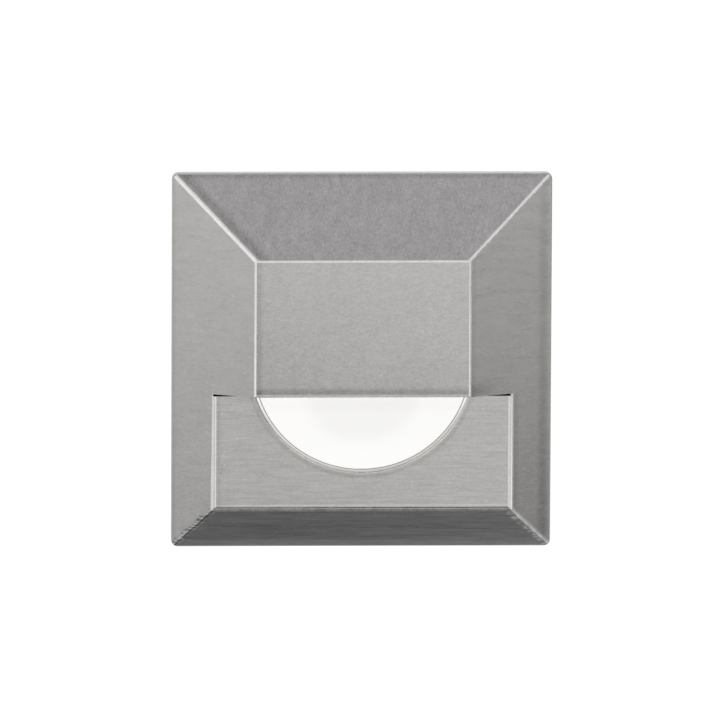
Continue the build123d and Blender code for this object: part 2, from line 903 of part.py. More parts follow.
def hinge_pin(side):
    """A pin through both ears, riveted over at both ends."""
    plan = side_plan(side)
    with BuildPart() as pin:
        with BuildSketch(plan.offset(-bracket_half_width)):
            with Locations((pivot_x, pivot_y)):
                Circle(pin_r)
        extrude(amount=2 * bracket_half_width)
        for start, amount in (
            (bracket_half_width, rivet_height),
            (-bracket_half_width, -rivet_height),
        ):
            with BuildSketch(plan.offset(start)):
                with Locations((pivot_x, pivot_y)):
                    Circle(rivet_r)
            extrude(amount=amount)
    return pin.part


def wing(side):
    """A channel of spring steel: two ears on the pin and a plate with a turned-in tip."""
    plan = wing_plan(side)
    half_width = bracket_half_width - bracket_thk - wing_side_gap
    lip_angle = math.radians(wing_lip_angle)
    bend_u = wing_length - wing_lip * math.cos(lip_angle)
    stop_x = bracket_face_x + wing_heel_gap

    def ear():
        with Locations((0, 0)):
            Circle(wing_ear_r)
        with Locations((0, 0)):
            Rectangle(wing_ear_length, wing_thk, align=(Align.MIN, Align.MIN))
        make_hull()

    with BuildPart() as channel:
        with BuildSketch(plan.offset(-half_width)):
            with BuildLine():
                FilletPolyline(
                    (wing_root, wing_thk / 2),
                    (bend_u, wing_thk / 2),
                    (wing_length, wing_thk / 2 - wing_lip * math.sin(lip_angle)),
                    radius=wing_bend_r,
                )
            trace(line_width=wing_thk)
        extrude(amount=2 * half_width)
        both_ears(plan, half_width - wing_thk, wing_thk, ear)
        # The heel of each ear meets the bracket when the wing is open.
        def heel():
            Polygon(
                (stop_x, pivot_y + wing_heel_start),
                (stop_x, pivot_y + wing_heel_end),
                (pivot_x, pivot_y + wing_ear_r),
                (pivot_x, pivot_y),
                align=None,
            )

        both_ears(side_plan(side), half_width - wing_thk, wing_thk, heel)
        with BuildSketch(plan.offset(-half_width)):
            Circle(pin_r + wing_fit)
        extrude(amount=2 * half_width, mode=Mode.SUBTRACT)
    return channel.part


# ---------------------------------------------------------------- wing springs
def biarc(start, start_dir, end, end_dir):
    """Two arcs that join two points and leave each in its given direction."""
    across = end - start
    both = start_dir + end_dir
    turn = 2 * (1 - start_dir.dot(end_dir))
    along = across.dot(both)
    reach = (-along + math.sqrt(along**2 + turn * across.dot(across))) / turn
    joint = (start + start_dir * reach + end - end_dir * reach) * 0.5
    joint_dir = (end - end_dir * reach) - (start + start_dir * reach)
    TangentArc(start, joint, tangent=start_dir)
    TangentArc(joint, end, tangent=joint_dir)


def wing_spring(side):
    """A torsion spring round the pin: one leg on the wing, one on the bracket."""
    plan = side_plan(side)
    wing_rise = spring_wire_r + spring_touch_gap
    base_rise = pivot_height - spring_wire_r - spring_touch_gap
    # A tangent leg of length L turned by t reaches mean_r*cos(t) - L*sin(t) off the axis.
    wing_reach = math.hypot(spring_wing_leg, spring_mean_r)
    wing_tilt = math.asin(spring_mean_r / wing_reach) - math.asin(wing_rise / wing_reach)
    base_reach = math.hypot(spring_base_leg, spring_mean_r)
    base_tilt = math.asin(base_rise / base_reach) - math.asin(spring_mean_r / base_reach)
    first = math.pi + alpha + wing_tilt
    last = math.pi + base_tilt - 2 * math.pi * spring_turns
    steps = math.ceil((first - last) / (math.pi / 2))
    climb = spring_pitch / (2 * math.pi)
    height = climb * (first - last)

    def on_coil(angle):
        x = pivot_x + spring_mean_r * math.cos(angle)
        y = pivot_y + spring_mean_r * math.sin(angle)
        z = (first - angle) * climb - height / 2
        return plan.from_local_coords(Vector(x, y, z))

    def along_coil(angle):
        local = Vector(spring_mean_r * math.sin(angle), -spring_mean_r * math.cos(angle), climb)
        turned = plan.from_local_coords(local) - plan.from_local_coords(Vector(0, 0, 0))
        return turned.normalized()

    angles = [first + (last - first) * n / steps for n in range(steps + 1)]
    wing_tip = on_coil(first) - along_coil(first) * spring_wing_leg
    base_tip = on_coil(last) + along_coil(last) * spring_base_leg
    with BuildPart() as wire:
        with BuildLine() as path:
            Line(wing_tip, on_coil(first))
            for a, b in zip(angles, angles[1:]):
                biarc(on_coil(a), along_coil(a), on_coil(b), along_coil(b))
            Line(on_coil(last), base_tip)
        with BuildSketch(Plane(origin=wing_tip, z_dir=along_coil(first))):
            Circle(spring_wire_r)
        sweep()
    return wire.part, path.wire()


def least_gap(path, wire_r, per_mm=10):
    """The least distance between a tube's stretches that lie over half a turn apart."""
    count = int(path.length * per_mm)
    points = [path.position_at(n / count) for n in range(count + 1)]
    apart = int(math.pi * spring_mean_r * per_mm)
    return min(
        (points[i] - points[j]).length - 2 * wire_r
        for i in range(len(points))
        for j in range(i + apart, len(points))
    )


for side, name in ((1, "right"), (-1, "left")):
    save(bracket(side), f"bracket_{name}")
    save(
        pan_screws(
            side_face(side, bracket_face_x),
            [(y, 0) for y in bracket_screw_ys],
            bracket_thk + bracket_tap_depth - bracket_screw_gap,
        ),
        f"bracket_screws_{name}",
    )
    save(hinge_pin(side), f"hinge_pin_{name}")
    save(wing(side), f"wing_{name}")
    spring, spring_path = wing_spring(side)
    save(spring, f"wing_spring_{name}")
    tube_volume = math.pi * spring_wire_r**2 * spring_path.length
    print(f"{name} spring: least gap {least_gap(spring_path, spring_wire_r):.3f} mm,")
    print(f"  volume {spring.volume:.4f} of {tube_volume:.4f} mm3")
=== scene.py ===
import math

import bpy
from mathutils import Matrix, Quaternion, Vector


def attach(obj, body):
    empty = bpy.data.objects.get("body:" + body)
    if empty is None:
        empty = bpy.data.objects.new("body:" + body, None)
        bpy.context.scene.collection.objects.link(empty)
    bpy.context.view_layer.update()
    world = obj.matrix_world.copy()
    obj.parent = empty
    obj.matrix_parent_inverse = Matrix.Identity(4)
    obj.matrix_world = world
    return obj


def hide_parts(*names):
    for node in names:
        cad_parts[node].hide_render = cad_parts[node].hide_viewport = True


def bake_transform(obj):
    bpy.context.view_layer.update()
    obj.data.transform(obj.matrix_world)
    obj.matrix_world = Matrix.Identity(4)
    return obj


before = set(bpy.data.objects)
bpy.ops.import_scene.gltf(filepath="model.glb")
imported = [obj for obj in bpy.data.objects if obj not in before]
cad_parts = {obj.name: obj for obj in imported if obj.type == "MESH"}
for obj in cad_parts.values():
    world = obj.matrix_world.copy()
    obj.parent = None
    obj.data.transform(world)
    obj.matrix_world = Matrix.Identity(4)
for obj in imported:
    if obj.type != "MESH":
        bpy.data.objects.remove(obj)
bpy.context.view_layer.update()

# ---------------------------------------------------------------- camera
# A long lens well in front of the light, 11 degrees above its axis, a little to the
# left of it and leaning by a hair.
view_up = math.radians(11.0)
view_left = math.radians(2.0)
view_lean = 0.0045
view_distance = 3.0
frame_pixels = 720
pixels_per_metre = 6662
frame_width = frame_pixels / pixels_per_metre
aim = Vector((-0.00014, 0.0001, -0.00046))

towards = Vector(
    (
        -math.sin(view_left) * math.cos(view_up),
        -math.cos(view_left) * math.cos(view_up),
        math.sin(view_up),
    )
)
bpy.ops.object.camera_add(
    location=aim + towards * view_distance,
    rotation=((-towards).to_track_quat("-Z", "Y") @ Quaternion((0, 0, 1), view_lean)).to_euler(),
)
camera = bpy.context.object
camera.data.sensor_width = 36
camera.data.lens = camera.data.sensor_width * view_distance / frame_width
camera.data.clip_end = 20
bpy.context.scene.camera = camera

# ---------------------------------------------------------------- studio
# A pale floor under a white surround, one large soft lamp high on the left, and cards
# that stand round the light so that each bevel of the metal mirrors its own tone.
bpy.context.scene.view_settings.view_transform = "Standard"
floor_height = -0.12
floor_colour = (0.45, 0.45, 0.45, 1)
surround_level = 0.72
floor_glow = 0.70


def seen_white(tree):
    """1 for what the camera, a mirror or glass sees, and 0 for light that falls on things."""
    path = tree.nodes.new("ShaderNodeLightPath")
    total = path.outputs["Is Camera Ray"]
    for ray in ("Is Glossy Ray", "Is Transmission Ray"):
        add = tree.nodes.new("ShaderNodeMath")
        add.operation = "MAXIMUM"
        tree.links.new(total, add.inputs[0])
        tree.links.new(path.outputs[ray], add.inputs[1])
        total = add.outputs[0]
    return total


world = bpy.data.worlds.new("white surround")
bpy.context.scene.world = world
world.use_nodes = True
surround = world.node_tree.nodes["Background"]
surround.inputs["Color"].default_value = (1, 1, 1, 1)
level = world.node_tree.nodes.new("ShaderNodeMapRange")
level.inputs["To Min"].default_value = surround_level
level.inputs["To Max"].default_value = 1.0
world.node_tree.links.new(seen_white(world.node_tree), level.inputs["Value"])
world.node_tree.links.new(level.outputs["Result"], surround.inputs["Strength"])

bpy.ops.mesh.primitive_plane_add(size=8, location=(0, 0, floor_height))
ground = bpy.context.object
ground.name = "floor"
paint = bpy.data.materials.new("pale floor")
paint.use_nodes = True
tree = paint.node_tree
tree.nodes.clear()
matt = tree.nodes.new("ShaderNodeBsdfDiffuse")
matt.inputs["Color"].default_value = floor_colour
glow = tree.nodes.new("ShaderNodeEmission")
lift = tree.nodes.new("ShaderNodeMath")
lift.operation = "MULTIPLY"
lift.inputs[1].default_value = floor_glow
tree.links.new(seen_white(tree), lift.inputs[0])
tree.links.new(lift.outputs[0], glow.inputs["Strength"])
both = tree.nodes.new("ShaderNodeAddShader")
tree.links.new(matt.outputs[0], both.inputs[0])
tree.links.new(glow.outputs[0], both.inputs[1])
surface = tree.nodes.new("ShaderNodeOutputMaterial")
tree.links.new(both.outputs[0], surface.inputs["Surface"])
ground.data.materials.append(paint)

bpy.ops.object.light_add(type="AREA", location=(-0.9, -1.5, 1.5))
lamp = bpy.context.object
lamp.name = "soft lamp"
lamp.data.shape = "DISK"
lamp.data.size = 1.0
lamp.data.energy = 11.0
lamp.rotation_euler = Vector(lamp.location).to_track_quat("Z", "Y").to_euler()
lamp.visible_glossy = False


def card(name, direction, distance, width, height, level):
    """A glowing card that only the polished and brushed metal sees."""
    direction = Vector(direction).normalized()
    bpy.ops.mesh.primitive_plane_add(
        size=1,
        location=direction * distance,
        rotation=direction.to_track_quat("Z", "Y").to_euler(),
    )
    flat = bpy.context.object
    flat.name = name
    flat.scale = (width, height, 1)
    stuff = bpy.data.materials.new(name)
    stuff.use_nodes = True
    stuff.node_tree.nodes.clear()
    shine = stuff.node_tree.nodes.new("ShaderNodeEmission")
    shine.inputs["Strength"].default_value = level
    end = stuff.node_tree.nodes.new("ShaderNodeOutputMaterial")
    stuff.node_tree.links.new(shine.outputs[0], end.inputs["Surface"])
    flat.data.materials.append(stuff)
    flat.visible_camera = False
    flat.visible_diffuse = False
    flat.visible_transmission = False
    flat.visible_shadow = False


card("card for the left bevel", (-0.71, -0.68, -0.19), distance=0.6, width=0.40, height=0.44, level=0.74)
card("card for the right bevel", (0.77, -0.62, -0.19), distance=0.6, width=0.62, height=0.66, level=0.35)
card("card for the top bevel", (0.04, -0.79, 0.61), distance=0.6, width=0.44, height=0.40, level=0.705)
card("card for the foot", (0.0, -0.50, -0.86), distance=0.11, width=0.12, height=0.10, level=0.222)

# ---------------------------------------------------------------- faceplate
# The square bevelled plate, cast in stainless steel, brushed across its width and
# burnished along its folds, with painted highlights on its folds and painted shade and
# highlights on its faces. Its lower half is milled back under the hood, and the round
# window is bored through that floor. Four screws from behind hold it.
mm = 0.001
plate_back = -0.8 * mm
plate_size = 57.0 * mm
half = plate_size / 2
skirt_height = 1.4 * mm
bevel_run = 12.4 * mm
bevel_rise = 5.6 * mm
step_run = 6.17 * mm
lip_height = -4.65 * mm
skirt_front = plate_back - skirt_height
floor_depth = skirt_front - bevel_rise * step_run / bevel_run
panel_depth = skirt_front - bevel_rise
panel_half = half - bevel_run
floor_half = half - step_run

# A cutter stands out of the metal by this much in front, behind and at the sides.
front_excess = 5.0 * mm
back_excess = 1.0 * mm
side_reach = 1.1 * half

# The plate's finishes, each the number of its material slot.
finishes = range(14)
FRONT, SIDE, TOP, FOOT, RIDGE, FOOT_FOLD, RIM = finishes[:7]
CORNER, SIDE_FOLD, EDGE, GROOVE, TOP_CORNER, SHADED_LEFT_CORNER, FLOOR = finishes[7:]


def alone(piece):
    """Makes this the one selected piece."""
    bpy.ops.object.select_all(action="DESELECT")
    piece.select_set(True)
    bpy.context.view_layer.objects.active = piece


def pick_faces(piece, test):
    """Goes into edit mode with only the faces that pass the test selected."""
    alone(piece)
    bpy.ops.object.mode_set(mode="EDIT")
    bpy.ops.mesh.select_mode(type="FACE")
    bpy.ops.mesh.select_all(action="DESELECT")
    bpy.ops.object.mode_set(mode="OBJECT")
    for face in piece.data.polygons:
        face.select = test(face.center, face.normal)
    bpy.ops.object.mode_set(mode="EDIT")


def round_over(piece, test, width, segments, slot=-1):
    """Rounds over the edges whose two ends pass the test together. The new faces take
    the slot's finish, or their neighbours' where it is -1."""
    alone(piece)
    bpy.ops.object.mode_set(mode="EDIT")
    bpy.ops.mesh.select_mode(type="EDGE")
    bpy.ops.mesh.select_all(action="DESELECT")
    bpy.ops.object.mode_set(mode="OBJECT")
    points = piece.data.vertices
    for edge in piece.data.edges:
        first, second = (points[i].co for i in edge.vertices)
        edge.select = test(first, second)
    bpy.ops.object.mode_set(mode="EDIT")
    bpy.ops.mesh.bevel(offset=width, segments=segments, affect="EDGES", material=slot)
    bpy.ops.object.mode_set(mode="OBJECT")


def block(low, high):
    """A plain block between two corners, as stock or as a cutter."""
    low, high = Vector(low), Vector(high)
    bpy.ops.mesh.primitive_cube_add(size=1, location=(low + high) / 2)
    bpy.context.object.scale = high - low
    bpy.ops.object.transform_apply(location=True, rotation=True, scale=True)
    return bpy.context.object


def bar(radius, centre, start, end, sides):
    """A round bar along the light's axis, from depth start to depth end."""
    bpy.ops.mesh.primitive_cylinder_add(
        vertices=sides,
        radius=radius,
        depth=end - start,
        location=(centre[0], (start + end) / 2, centre[1]),
        rotation=(math.radians(90), 0, 0),
    )
    bpy.ops.object.transform_apply(location=True, rotation=True, scale=True)
    return bpy.context.object


def cut(piece, cutter, operation="DIFFERENCE"):
    """Cuts the piece with another solid, which is used up."""
    alone(piece)
    cutting = piece.modifiers.new("cut", "BOOLEAN")
    cutting.operation = operation
    cutting.solver = "EXACT"
    cutting.object = cutter
    bpy.ops.object.modifier_apply(modifier=cutting.name)
    bpy.data.objects.remove(cutter)


def near(a, b, slack=0.02 * mm):
    """True where two lengths differ by less than the slack."""
    return abs(a - b) < slack


bpy.ops.object.select_all(action="DESELECT")
faceplate = block((-half, skirt_front, -half), (half, plate_back, half))
faceplate.name = "steel_faceplate"
pick_faces(faceplate, lambda centre, normal: normal.y < -0.9)
bpy.ops.mesh.extrude_region_move(TRANSFORM_OT_translate={"value": (0, -bevel_rise, 0)})
bpy.ops.transform.resize(
    value=(panel_half / half, 1, panel_half / half), center_override=(0, panel_depth, 0)
)
bpy.ops.object.mode_set(mode="OBJECT")

# The lower half is milled back to the floor, up to the hood's lip.
mill_corner = (-side_reach, panel_depth - front_excess, -side_reach)
cut(faceplate, block(mill_corner, (side_reach, floor_depth, lip_height)))

# The folds are rounded over: narrow ones round the panel and down the corners, and
# broader ones round the floor.
ridge_width = 0.17 * mm
corner_width = 0.26 * mm
floor_edge_width = 0.36 * mm


def corner_fold(a, b):
    """The slanting folds from the skirt's corners to the panel's and the floor's."""
    slanting = not near(a.y, b.y)
    on_skirt = near(abs(a.x), half) and near(abs(b.x), half)
    return slanting and not on_skirt and all(near(abs(p.x), abs(p.z), 0.05 * mm) for p in (a, b))


def panel_fold(a, b):
    """The folds at the panel's two sides and its top."""
    at_side = all(near(abs(p.x), panel_half) for p in (a, b))
    at_top = all(near(p.z, panel_half) for p in (a, b))
    return all(near(p.y, panel_depth) for p in (a, b)) and (at_side or at_top)


def floor_fold(a, b):
    """The folds at the floor's two sides and its foot."""
    at_side = all(near(abs(p.x), floor_half) for p in (a, b))
    at_foot = all(near(p.z, -floor_half) for p in (a, b))
    return all(near(p.y, floor_depth) for p in (a, b)) and (at_side or at_foot)


alone(faceplate)
weights = faceplate.data.attributes.new("bevel_weight_edge", "FLOAT", "EDGE")
points = faceplate.data.vertices
for edge in faceplate.data.edges:
    a, b = (points[i].co for i in edge.vertices)
    if floor_fold(a, b):
        weights.data[edge.index].value = 1.0
    elif panel_fold(a, b):
        weights.data[edge.index].value = ridge_width / floor_edge_width
    elif corner_fold(a, b):
        weights.data[edge.index].value = corner_width / floor_edge_width
folding = faceplate.modifiers.new("folds", "BEVEL")
folding.limit_method = "WEIGHT"
folding.offset_type = "OFFSET"
folding.width = floor_edge_width
folding.segments = 5
folding.material = RIDGE
for _ in finishes:
    faceplate.data.materials.append(None)
bpy.ops.object.modifier_apply(modifier=folding.name)

# The outline's corners are rounded, then the rim all round and the hood's lip.
outline_radius = 1.0 * mm
rim_width = 0.18 * mm
lip_width = 0.25 * mm
outline = block(
    (-half, panel_depth - front_excess, -half), (half, plate_back + back_excess, half)
)
round_over(outline, lambda a, b: not near(a.y, b.y), outline_radius, segments=12)
cut(faceplate, outline, "INTERSECT")


def on_rim(point):
    """True on the outline, at the skirt's front edge or up to 0.5 mm before it, where
    the bevels reach the rounded corners."""
    straight = half - outline_radius
    over = Vector((max(abs(point.x) - straight, 0), max(abs(point.z) - straight, 0)))
    at_front = skirt_front - 0.5 * mm < point.y < skirt_front + 0.02 * mm
    return near(over.length, outline_radius) and at_front


def on_lip(point):
    return near(point.y, panel_depth) and near(point.z, lip_height)


round_over(faceplate, lambda a, b: on_rim(a) and on_rim(b), rim_width, segments=3, slot=EDGE)
round_over(faceplate, lambda a, b: on_lip(a) and on_lip(b), lip_width, segments=3, slot=RIM)

# The window is bored from behind up into the hood and its rim is eased. Then come
# the relief groove along the foot of the step, the lens's seat and four tapped holes.
window_radius = 16.65 * mm
window_rim_width = 0.17 * mm
hood_roof = 1.4 * mm
relief_width = 0.35 * mm
relief_depth = 1.2 * mm
seat_radius = 18.6 * mm
seat_depth = 2.6 * mm
screw_circle = 21.6 * mm
screw_turns = (45, 135, 225, 315)
tapped_radius = 1.0 * mm
tapped_depth = 3.0 * mm
bored_to = plate_back + back_excess
cut(faceplate, bar(window_radius, (0, 0), panel_depth + hood_roof, bored_to, sides=192))


def on_window_rim(point):
    from_axis = math.hypot(point.x, point.z)
    return near(point.y, floor_depth) and near(from_axis, window_radius, 0.01 * mm)


round_over(
    faceplate,
    lambda a, b: on_window_rim(a) and on_window_rim(b),
    window_rim_width,
    segments=2,
    slot=RIM,
)
groove_corner = (-floor_half, floor_depth - back_excess, lip_height - relief_width)
cut(faceplate, block(groove_corner, (floor_half, floor_depth + relief_depth, lip_height)))
cut(faceplate, bar(seat_radius, (0, 0), plate_back - seat_depth, bored_to, sides=192))
for turn in screw_turns:
    across = screw_circle * math.cos(math.radians(turn))
    up = screw_circle * math.sin(math.radians(turn))
    cut(faceplate, bar(tapped_radius, (across, up), plate_back - tapped_depth, bored_to, sides=32))

# The slivers that the cuts leave are welded away.
sliver = 0.001 * mm
pick_faces(faceplate, lambda centre, normal: True)
bpy.ops.mesh.remove_doubles(threshold=sliver)
bpy.ops.mesh.dissolve_degenerate(threshold=sliver)
bpy.ops.mesh.normals_make_consistent(inside=False)
bpy.ops.object.mode_set(mode="OBJECT")
alone(faceplate)
bpy.ops.object.shade_smooth_by_angle(angle=math.radians(4))


# Its finishes are worked out from the piece's own coordinates, in metres.
def wire(tree, source, target):
    tree.links.new(source, target)


def maths(tree, operation, first, second=0.0, third=0.0):
    """One sum in a material, from numbers or from other nodes' outputs."""
    node = tree.nodes.new("ShaderNodeMath")
    node.operation = operation
    for socket, value in zip(node.inputs, (first, second, third)):
        if hasattr(value, "links"):
            wire(tree, value, socket)
        else:
            socket.default_value = value
    return node.outputs[0]


def plus(tree, first, second):
    return maths(tree, "ADD", first, second)


def times(tree, first, second):
    return maths(tree, "MULTIPLY", first, second)


def grain(tree, per_metre, detail=2.0):
    """Noise on the piece's own coordinates, drawn out where per_metre is small."""
    place = tree.nodes.new("ShaderNodeTexCoord")
    stretch = tree.nodes.new("ShaderNodeMapping")
    stretch.inputs["Scale"].default_value = per_metre
    noise = tree.nodes.new("ShaderNodeTexNoise")
    noise.inputs["Scale"].default_value = 1.0
    noise.inputs["Detail"].default_value = detail
    noise.inputs["Roughness"].default_value = 0.55
    wire(tree, place.outputs["Object"], stretch.inputs["Vector"])
    wire(tree, stretch.outputs["Vector"], noise.inputs["Vector"])
    return noise.outputs["Fac"]


def spread(tree, value, low, high, from_low=0.3, from_high=0.7):
    """Brings a noise to the range from low to high."""
    node = tree.nodes.new("ShaderNodeMapRange")
    node.inputs["From Min"].default_value = from_low
    node.inputs["From Max"].default_value = from_high
    node.inputs["To Min"].default_value = low
    node.inputs["To Max"].default_value = high
    wire(tree, value, node.inputs["Value"])
    return node.outputs["Result"]


def tinted(tree, value, colour):
    """A colour whose brightness follows the value."""
    node = tree.nodes.new("ShaderNodeVectorMath")
    node.operation = "SCALE"
    node.inputs[0].default_value = colour
    wire(tree, value, node.inputs["Scale"])
    return node.outputs[0]


def shader(name, metallic):
    """A new material, with its tree and its one shader."""
    stuff = bpy.data.materials.new(name)
    stuff.use_nodes = True
    tree = stuff.node_tree
    skin = tree.nodes["Principled BSDF"]
    skin.inputs["Metallic"].default_value = metallic
    return stuff, tree, skin


def bumped(tree, skin, height, depth):
    """Makes the surface stand up by the depth where the height is 1."""
    bump = tree.nodes.new("ShaderNodeBump")
    bump.inputs["Strength"].default_value = 1.0
    bump.inputs["Distance"].default_value = depth
    wire(tree, height, bump.inputs["Height"])
    wire(tree, bump.outputs["Normal"], skin.inputs["Normal"])


def coordinates(tree):
    """The piece's own X, Y and Z."""
    place = tree.nodes.new("ShaderNodeTexCoord")
    split = tree.nodes.new("ShaderNodeSeparateXYZ")
    wire(tree, place.outputs["Object"], split.inputs[0])
    return split.outputs


def band(tree, value, centre, width):
    """1 where the value is at the centre, falling smoothly to 0 a width away."""
    away = maths(tree, "ABSOLUTE", maths(tree, "SUBTRACT", value, centre))
    node = tree.nodes.new("ShaderNodeMapRange")
    node.interpolation_type = "SMOOTHSTEP"
    node.inputs["From Min"].default_value = 0.0
    node.inputs["From Max"].default_value = width
    node.inputs["To Min"].default_value = 1.0
    node.inputs["To Max"].default_value = 0.0
    wire(tree, away, node.inputs["Value"])
    return node.outputs["Result"]


def past(tree, value, edge, soft=0.02 * mm):
    """0 where the value is short of the edge and 1 where it is past it."""
    node = tree.nodes.new("ShaderNodeMapRange")
    node.interpolation_type = "SMOOTHSTEP"
    node.inputs["From Min"].default_value = edge - soft
    node.inputs["From Max"].default_value = edge + soft
    wire(tree, value, node.inputs["Value"])
    return node.outputs["Result"]


def short_of(tree, value, edge, soft=0.02 * mm):
    """1 where the value is short of the edge and 0 where it is past it."""
    return maths(tree, "SUBTRACT", 1.0, past(tree, value, edge, soft))


def from_spot(tree, across=0.0, up=0.0):
    """How far a point is from a line along the light's axis."""
    x, _, z = coordinates(tree)
    aside = maths(tree, "POWER", maths(tree, "SUBTRACT", x, across), 2.0)
    above = maths(tree, "POWER", maths(tree, "SUBTRACT", z, up), 2.0)
    return maths(tree, "SQRT", plus(tree, aside, above))


def strips(tree, *rows):
    """Adds up strips of painted shade, or of painted highlight where the depth is below
    0: each a value, its centre, its width and how dark it is.
    """
    total = 0.0
    for value, centre, width, depth in rows:
        total = plus(tree, times(tree, band(tree, value, centre, width), depth), total)
    return total


def brushed_steel(name, grey, fine, coarse, contrast, speckle, shade, tint):
    """Brushed stainless steel: fine scratches and coarse strokes along the brush, a
    speckle, a slow mottling and blush, and small pits. Its shade function paints shade
    and highlights into it."""
    stuff, tree, skin = shader(name, metallic=1.0)
    # A layer is its grains per metre, detail and strength.
    layers = (
        (fine, 3.0, contrast),
        (coarse, 1.0, 0.35 * contrast),
        ((4300, 4300, 4300), 1.0, speckle),
        ((700, 700, 700), 2.0, 0.025),
        ((90, 90, 90), 1.0, 0.02),
    )
    total = 0.0
    for per_metre, detail, strength in layers:
        layer = spread(tree, grain(tree, per_metre, detail), -strength, strength)
        total = plus(tree, total, layer)
    pits = spread(tree, grain(tree, (2300, 2300, 2300), 0.0), 0.0, 0.10, 0.74, 0.82)
    total = plus(tree, total, pits)
    total = maths(tree, "SUBTRACT", total, shade(tree))
    bright = maths(tree, "MULTIPLY_ADD", total, grey, grey)
    wire(tree, tinted(tree, bright, tint), skin.inputs["Base Color"])
    wire(tree, spread(tree, grain(tree, coarse, 2.0), 0.27, 0.37), skin.inputs["Roughness"])
    bumped(tree, skin, grain(tree, fine, 3.0), 0.003 * mm)
    return stuff


def front_painted_shade(tree):
    """Painted shade and highlights. The panel darkens downward to painted shade just over
    the lip, with a painted highlight along the lip, and inside its left fold. The whole
    face darkens toward its left. The floor darkens round the window's rim and inside
    its left fold, has painted highlights inside its left and lower folds, and is a
    little lighter overall."""
    panel_middle = 5.7 * mm
    darker_down = 8.5
    darker_left = 2.2
    floor_lift = 0.02
    x, _, z = coordinates(tree)
    downward = times(tree, maths(tree, "SUBTRACT", z, panel_middle), -darker_down)
    total = times(tree, downward, past(tree, z, lip_height))
    total = plus(tree, total, times(tree, x, -darker_left))
    on_panel = strips(
        tree,
        (z, lip_height + 0.75 * mm, 1.0 * mm, 0.24),
        (z, lip_height + 0.32 * mm, 0.16 * mm, -0.35),
        (x, -panel_half + 0.5 * mm, 0.9 * mm, 0.16),
    )
    on_floor = strips(
        tree,
        (from_spot(tree), window_radius + 0.65 * mm, 0.5 * mm, 0.14),
        (x, -floor_half + 0.85 * mm, 0.6 * mm, 0.09),
        (x, -floor_half + 0.42 * mm, 0.15 * mm, -0.8),
        (z, -floor_half + 0.66 * mm, 0.2 * mm, -0.30),
    )
    on_floor = maths(tree, "SUBTRACT", on_floor, floor_lift)
    total = plus(tree, total, times(tree, on_panel, past(tree, z, lip_height)))
    return plus(tree, total, times(tree, on_floor, short_of(tree, z, lip_height)))


def frayed(tree):
    """How far a point is above a lower corner fold, made ragged along the brush."""
    reach = 0.7 * mm
    x, _, z = coordinates(tree)
    corner = plus(tree, z, maths(tree, "ABSOLUTE", x))
    noise = grain(tree, (800, 800, 4600), 2.0)
    return plus(tree, corner, spread(tree, noise, -reach, reach, 0.4, 0.6))


def side_painted_shade(tree):
    """Painted shade and highlights. Each side darkens downward, the right one faster. The
    right one has a dark strip inside its outer edge, one beside its folds and one over
    the lip's end, and bright lines at its outer edge, its corner fold and its floor
    fold. The left one has a dark strip at its outer edge, and the foot's darker tone is
    painted over its lower fold in ragged streaks along the brush."""
    darker_down = 10.3
    faster_right = 150.0
    over_lip_depth = 0.28
    painted_foot_shade_depth = 0.6
    x, _, z = coordinates(tree)
    corner = plus(tree, z, maths(tree, "ABSOLUTE", x))
    slope = maths(tree, "MULTIPLY_ADD", x, faster_right, darker_down)
    total = times(tree, z, times(tree, slope, -1.0))
    on_right = strips(
        tree,
        (x, half - 1.3 * mm, 1.1 * mm, 0.16),
        (x, half, 0.7 * mm, -0.16),
        (x, panel_half + 0.45 * mm, 0.7 * mm, 0.10),
        (corner, 0.3 * mm, 0.6 * mm, -0.40),
    )
    beside_floor = strips(
        tree,
        (x, floor_half + 0.75 * mm, 0.7 * mm, 0.10),
        (x, floor_half + 0.42 * mm, 0.14 * mm, -0.25),
    )
    below_lip = short_of(tree, z, lip_height, 0.4 * mm)
    on_right = plus(tree, on_right, times(tree, beside_floor, below_lip))
    near_panel = short_of(tree, x, panel_half + 2.6 * mm, 2.6 * mm)
    over_lip = band(tree, z, lip_height + 0.9 * mm, 1.7 * mm)
    over_lip = times(tree, over_lip, times(tree, near_panel, over_lip_depth))
    on_right = plus(tree, on_right, over_lip)
    on_left = strips(tree, (x, -half + 0.2 * mm, 0.6 * mm, 0.10))
    painted_foot_shade = short_of(tree, frayed(tree), 0.1 * mm, 0.3 * mm)
    painted_foot_shade = times(tree, painted_foot_shade, past(tree, corner, -0.4 * mm, 0.1 * mm))
    on_left = plus(tree, on_left, times(tree, painted_foot_shade, painted_foot_shade_depth))
    total = plus(tree, total, times(tree, on_right, past(tree, x, 0.0)))
    return plus(tree, total, times(tree, on_left, short_of(tree, x, 0.0)))


def top_painted_shade(tree):
    """Painted shade: a darker strip beside the left corner fold and one along the outer
    edge. Both corner folds are edged by a painted highlight."""
    x, _, z = coordinates(tree)
    from_left = plus(tree, z, x)
    from_right = maths(tree, "SUBTRACT", z, x)
    beside = strips(
        tree, (from_left, 1.5 * mm, 1.6 * mm, 0.26), (from_left, 0.3 * mm, 0.5 * mm, -1.2)
    )
    both = strips(
        tree, (from_right, 0.35 * mm, 0.35 * mm, -0.8), (z, half - 0.4 * mm, 0.6 * mm, 0.17)
    )
    return plus(tree, both, times(tree, beside, short_of(tree, x, 0.0)))


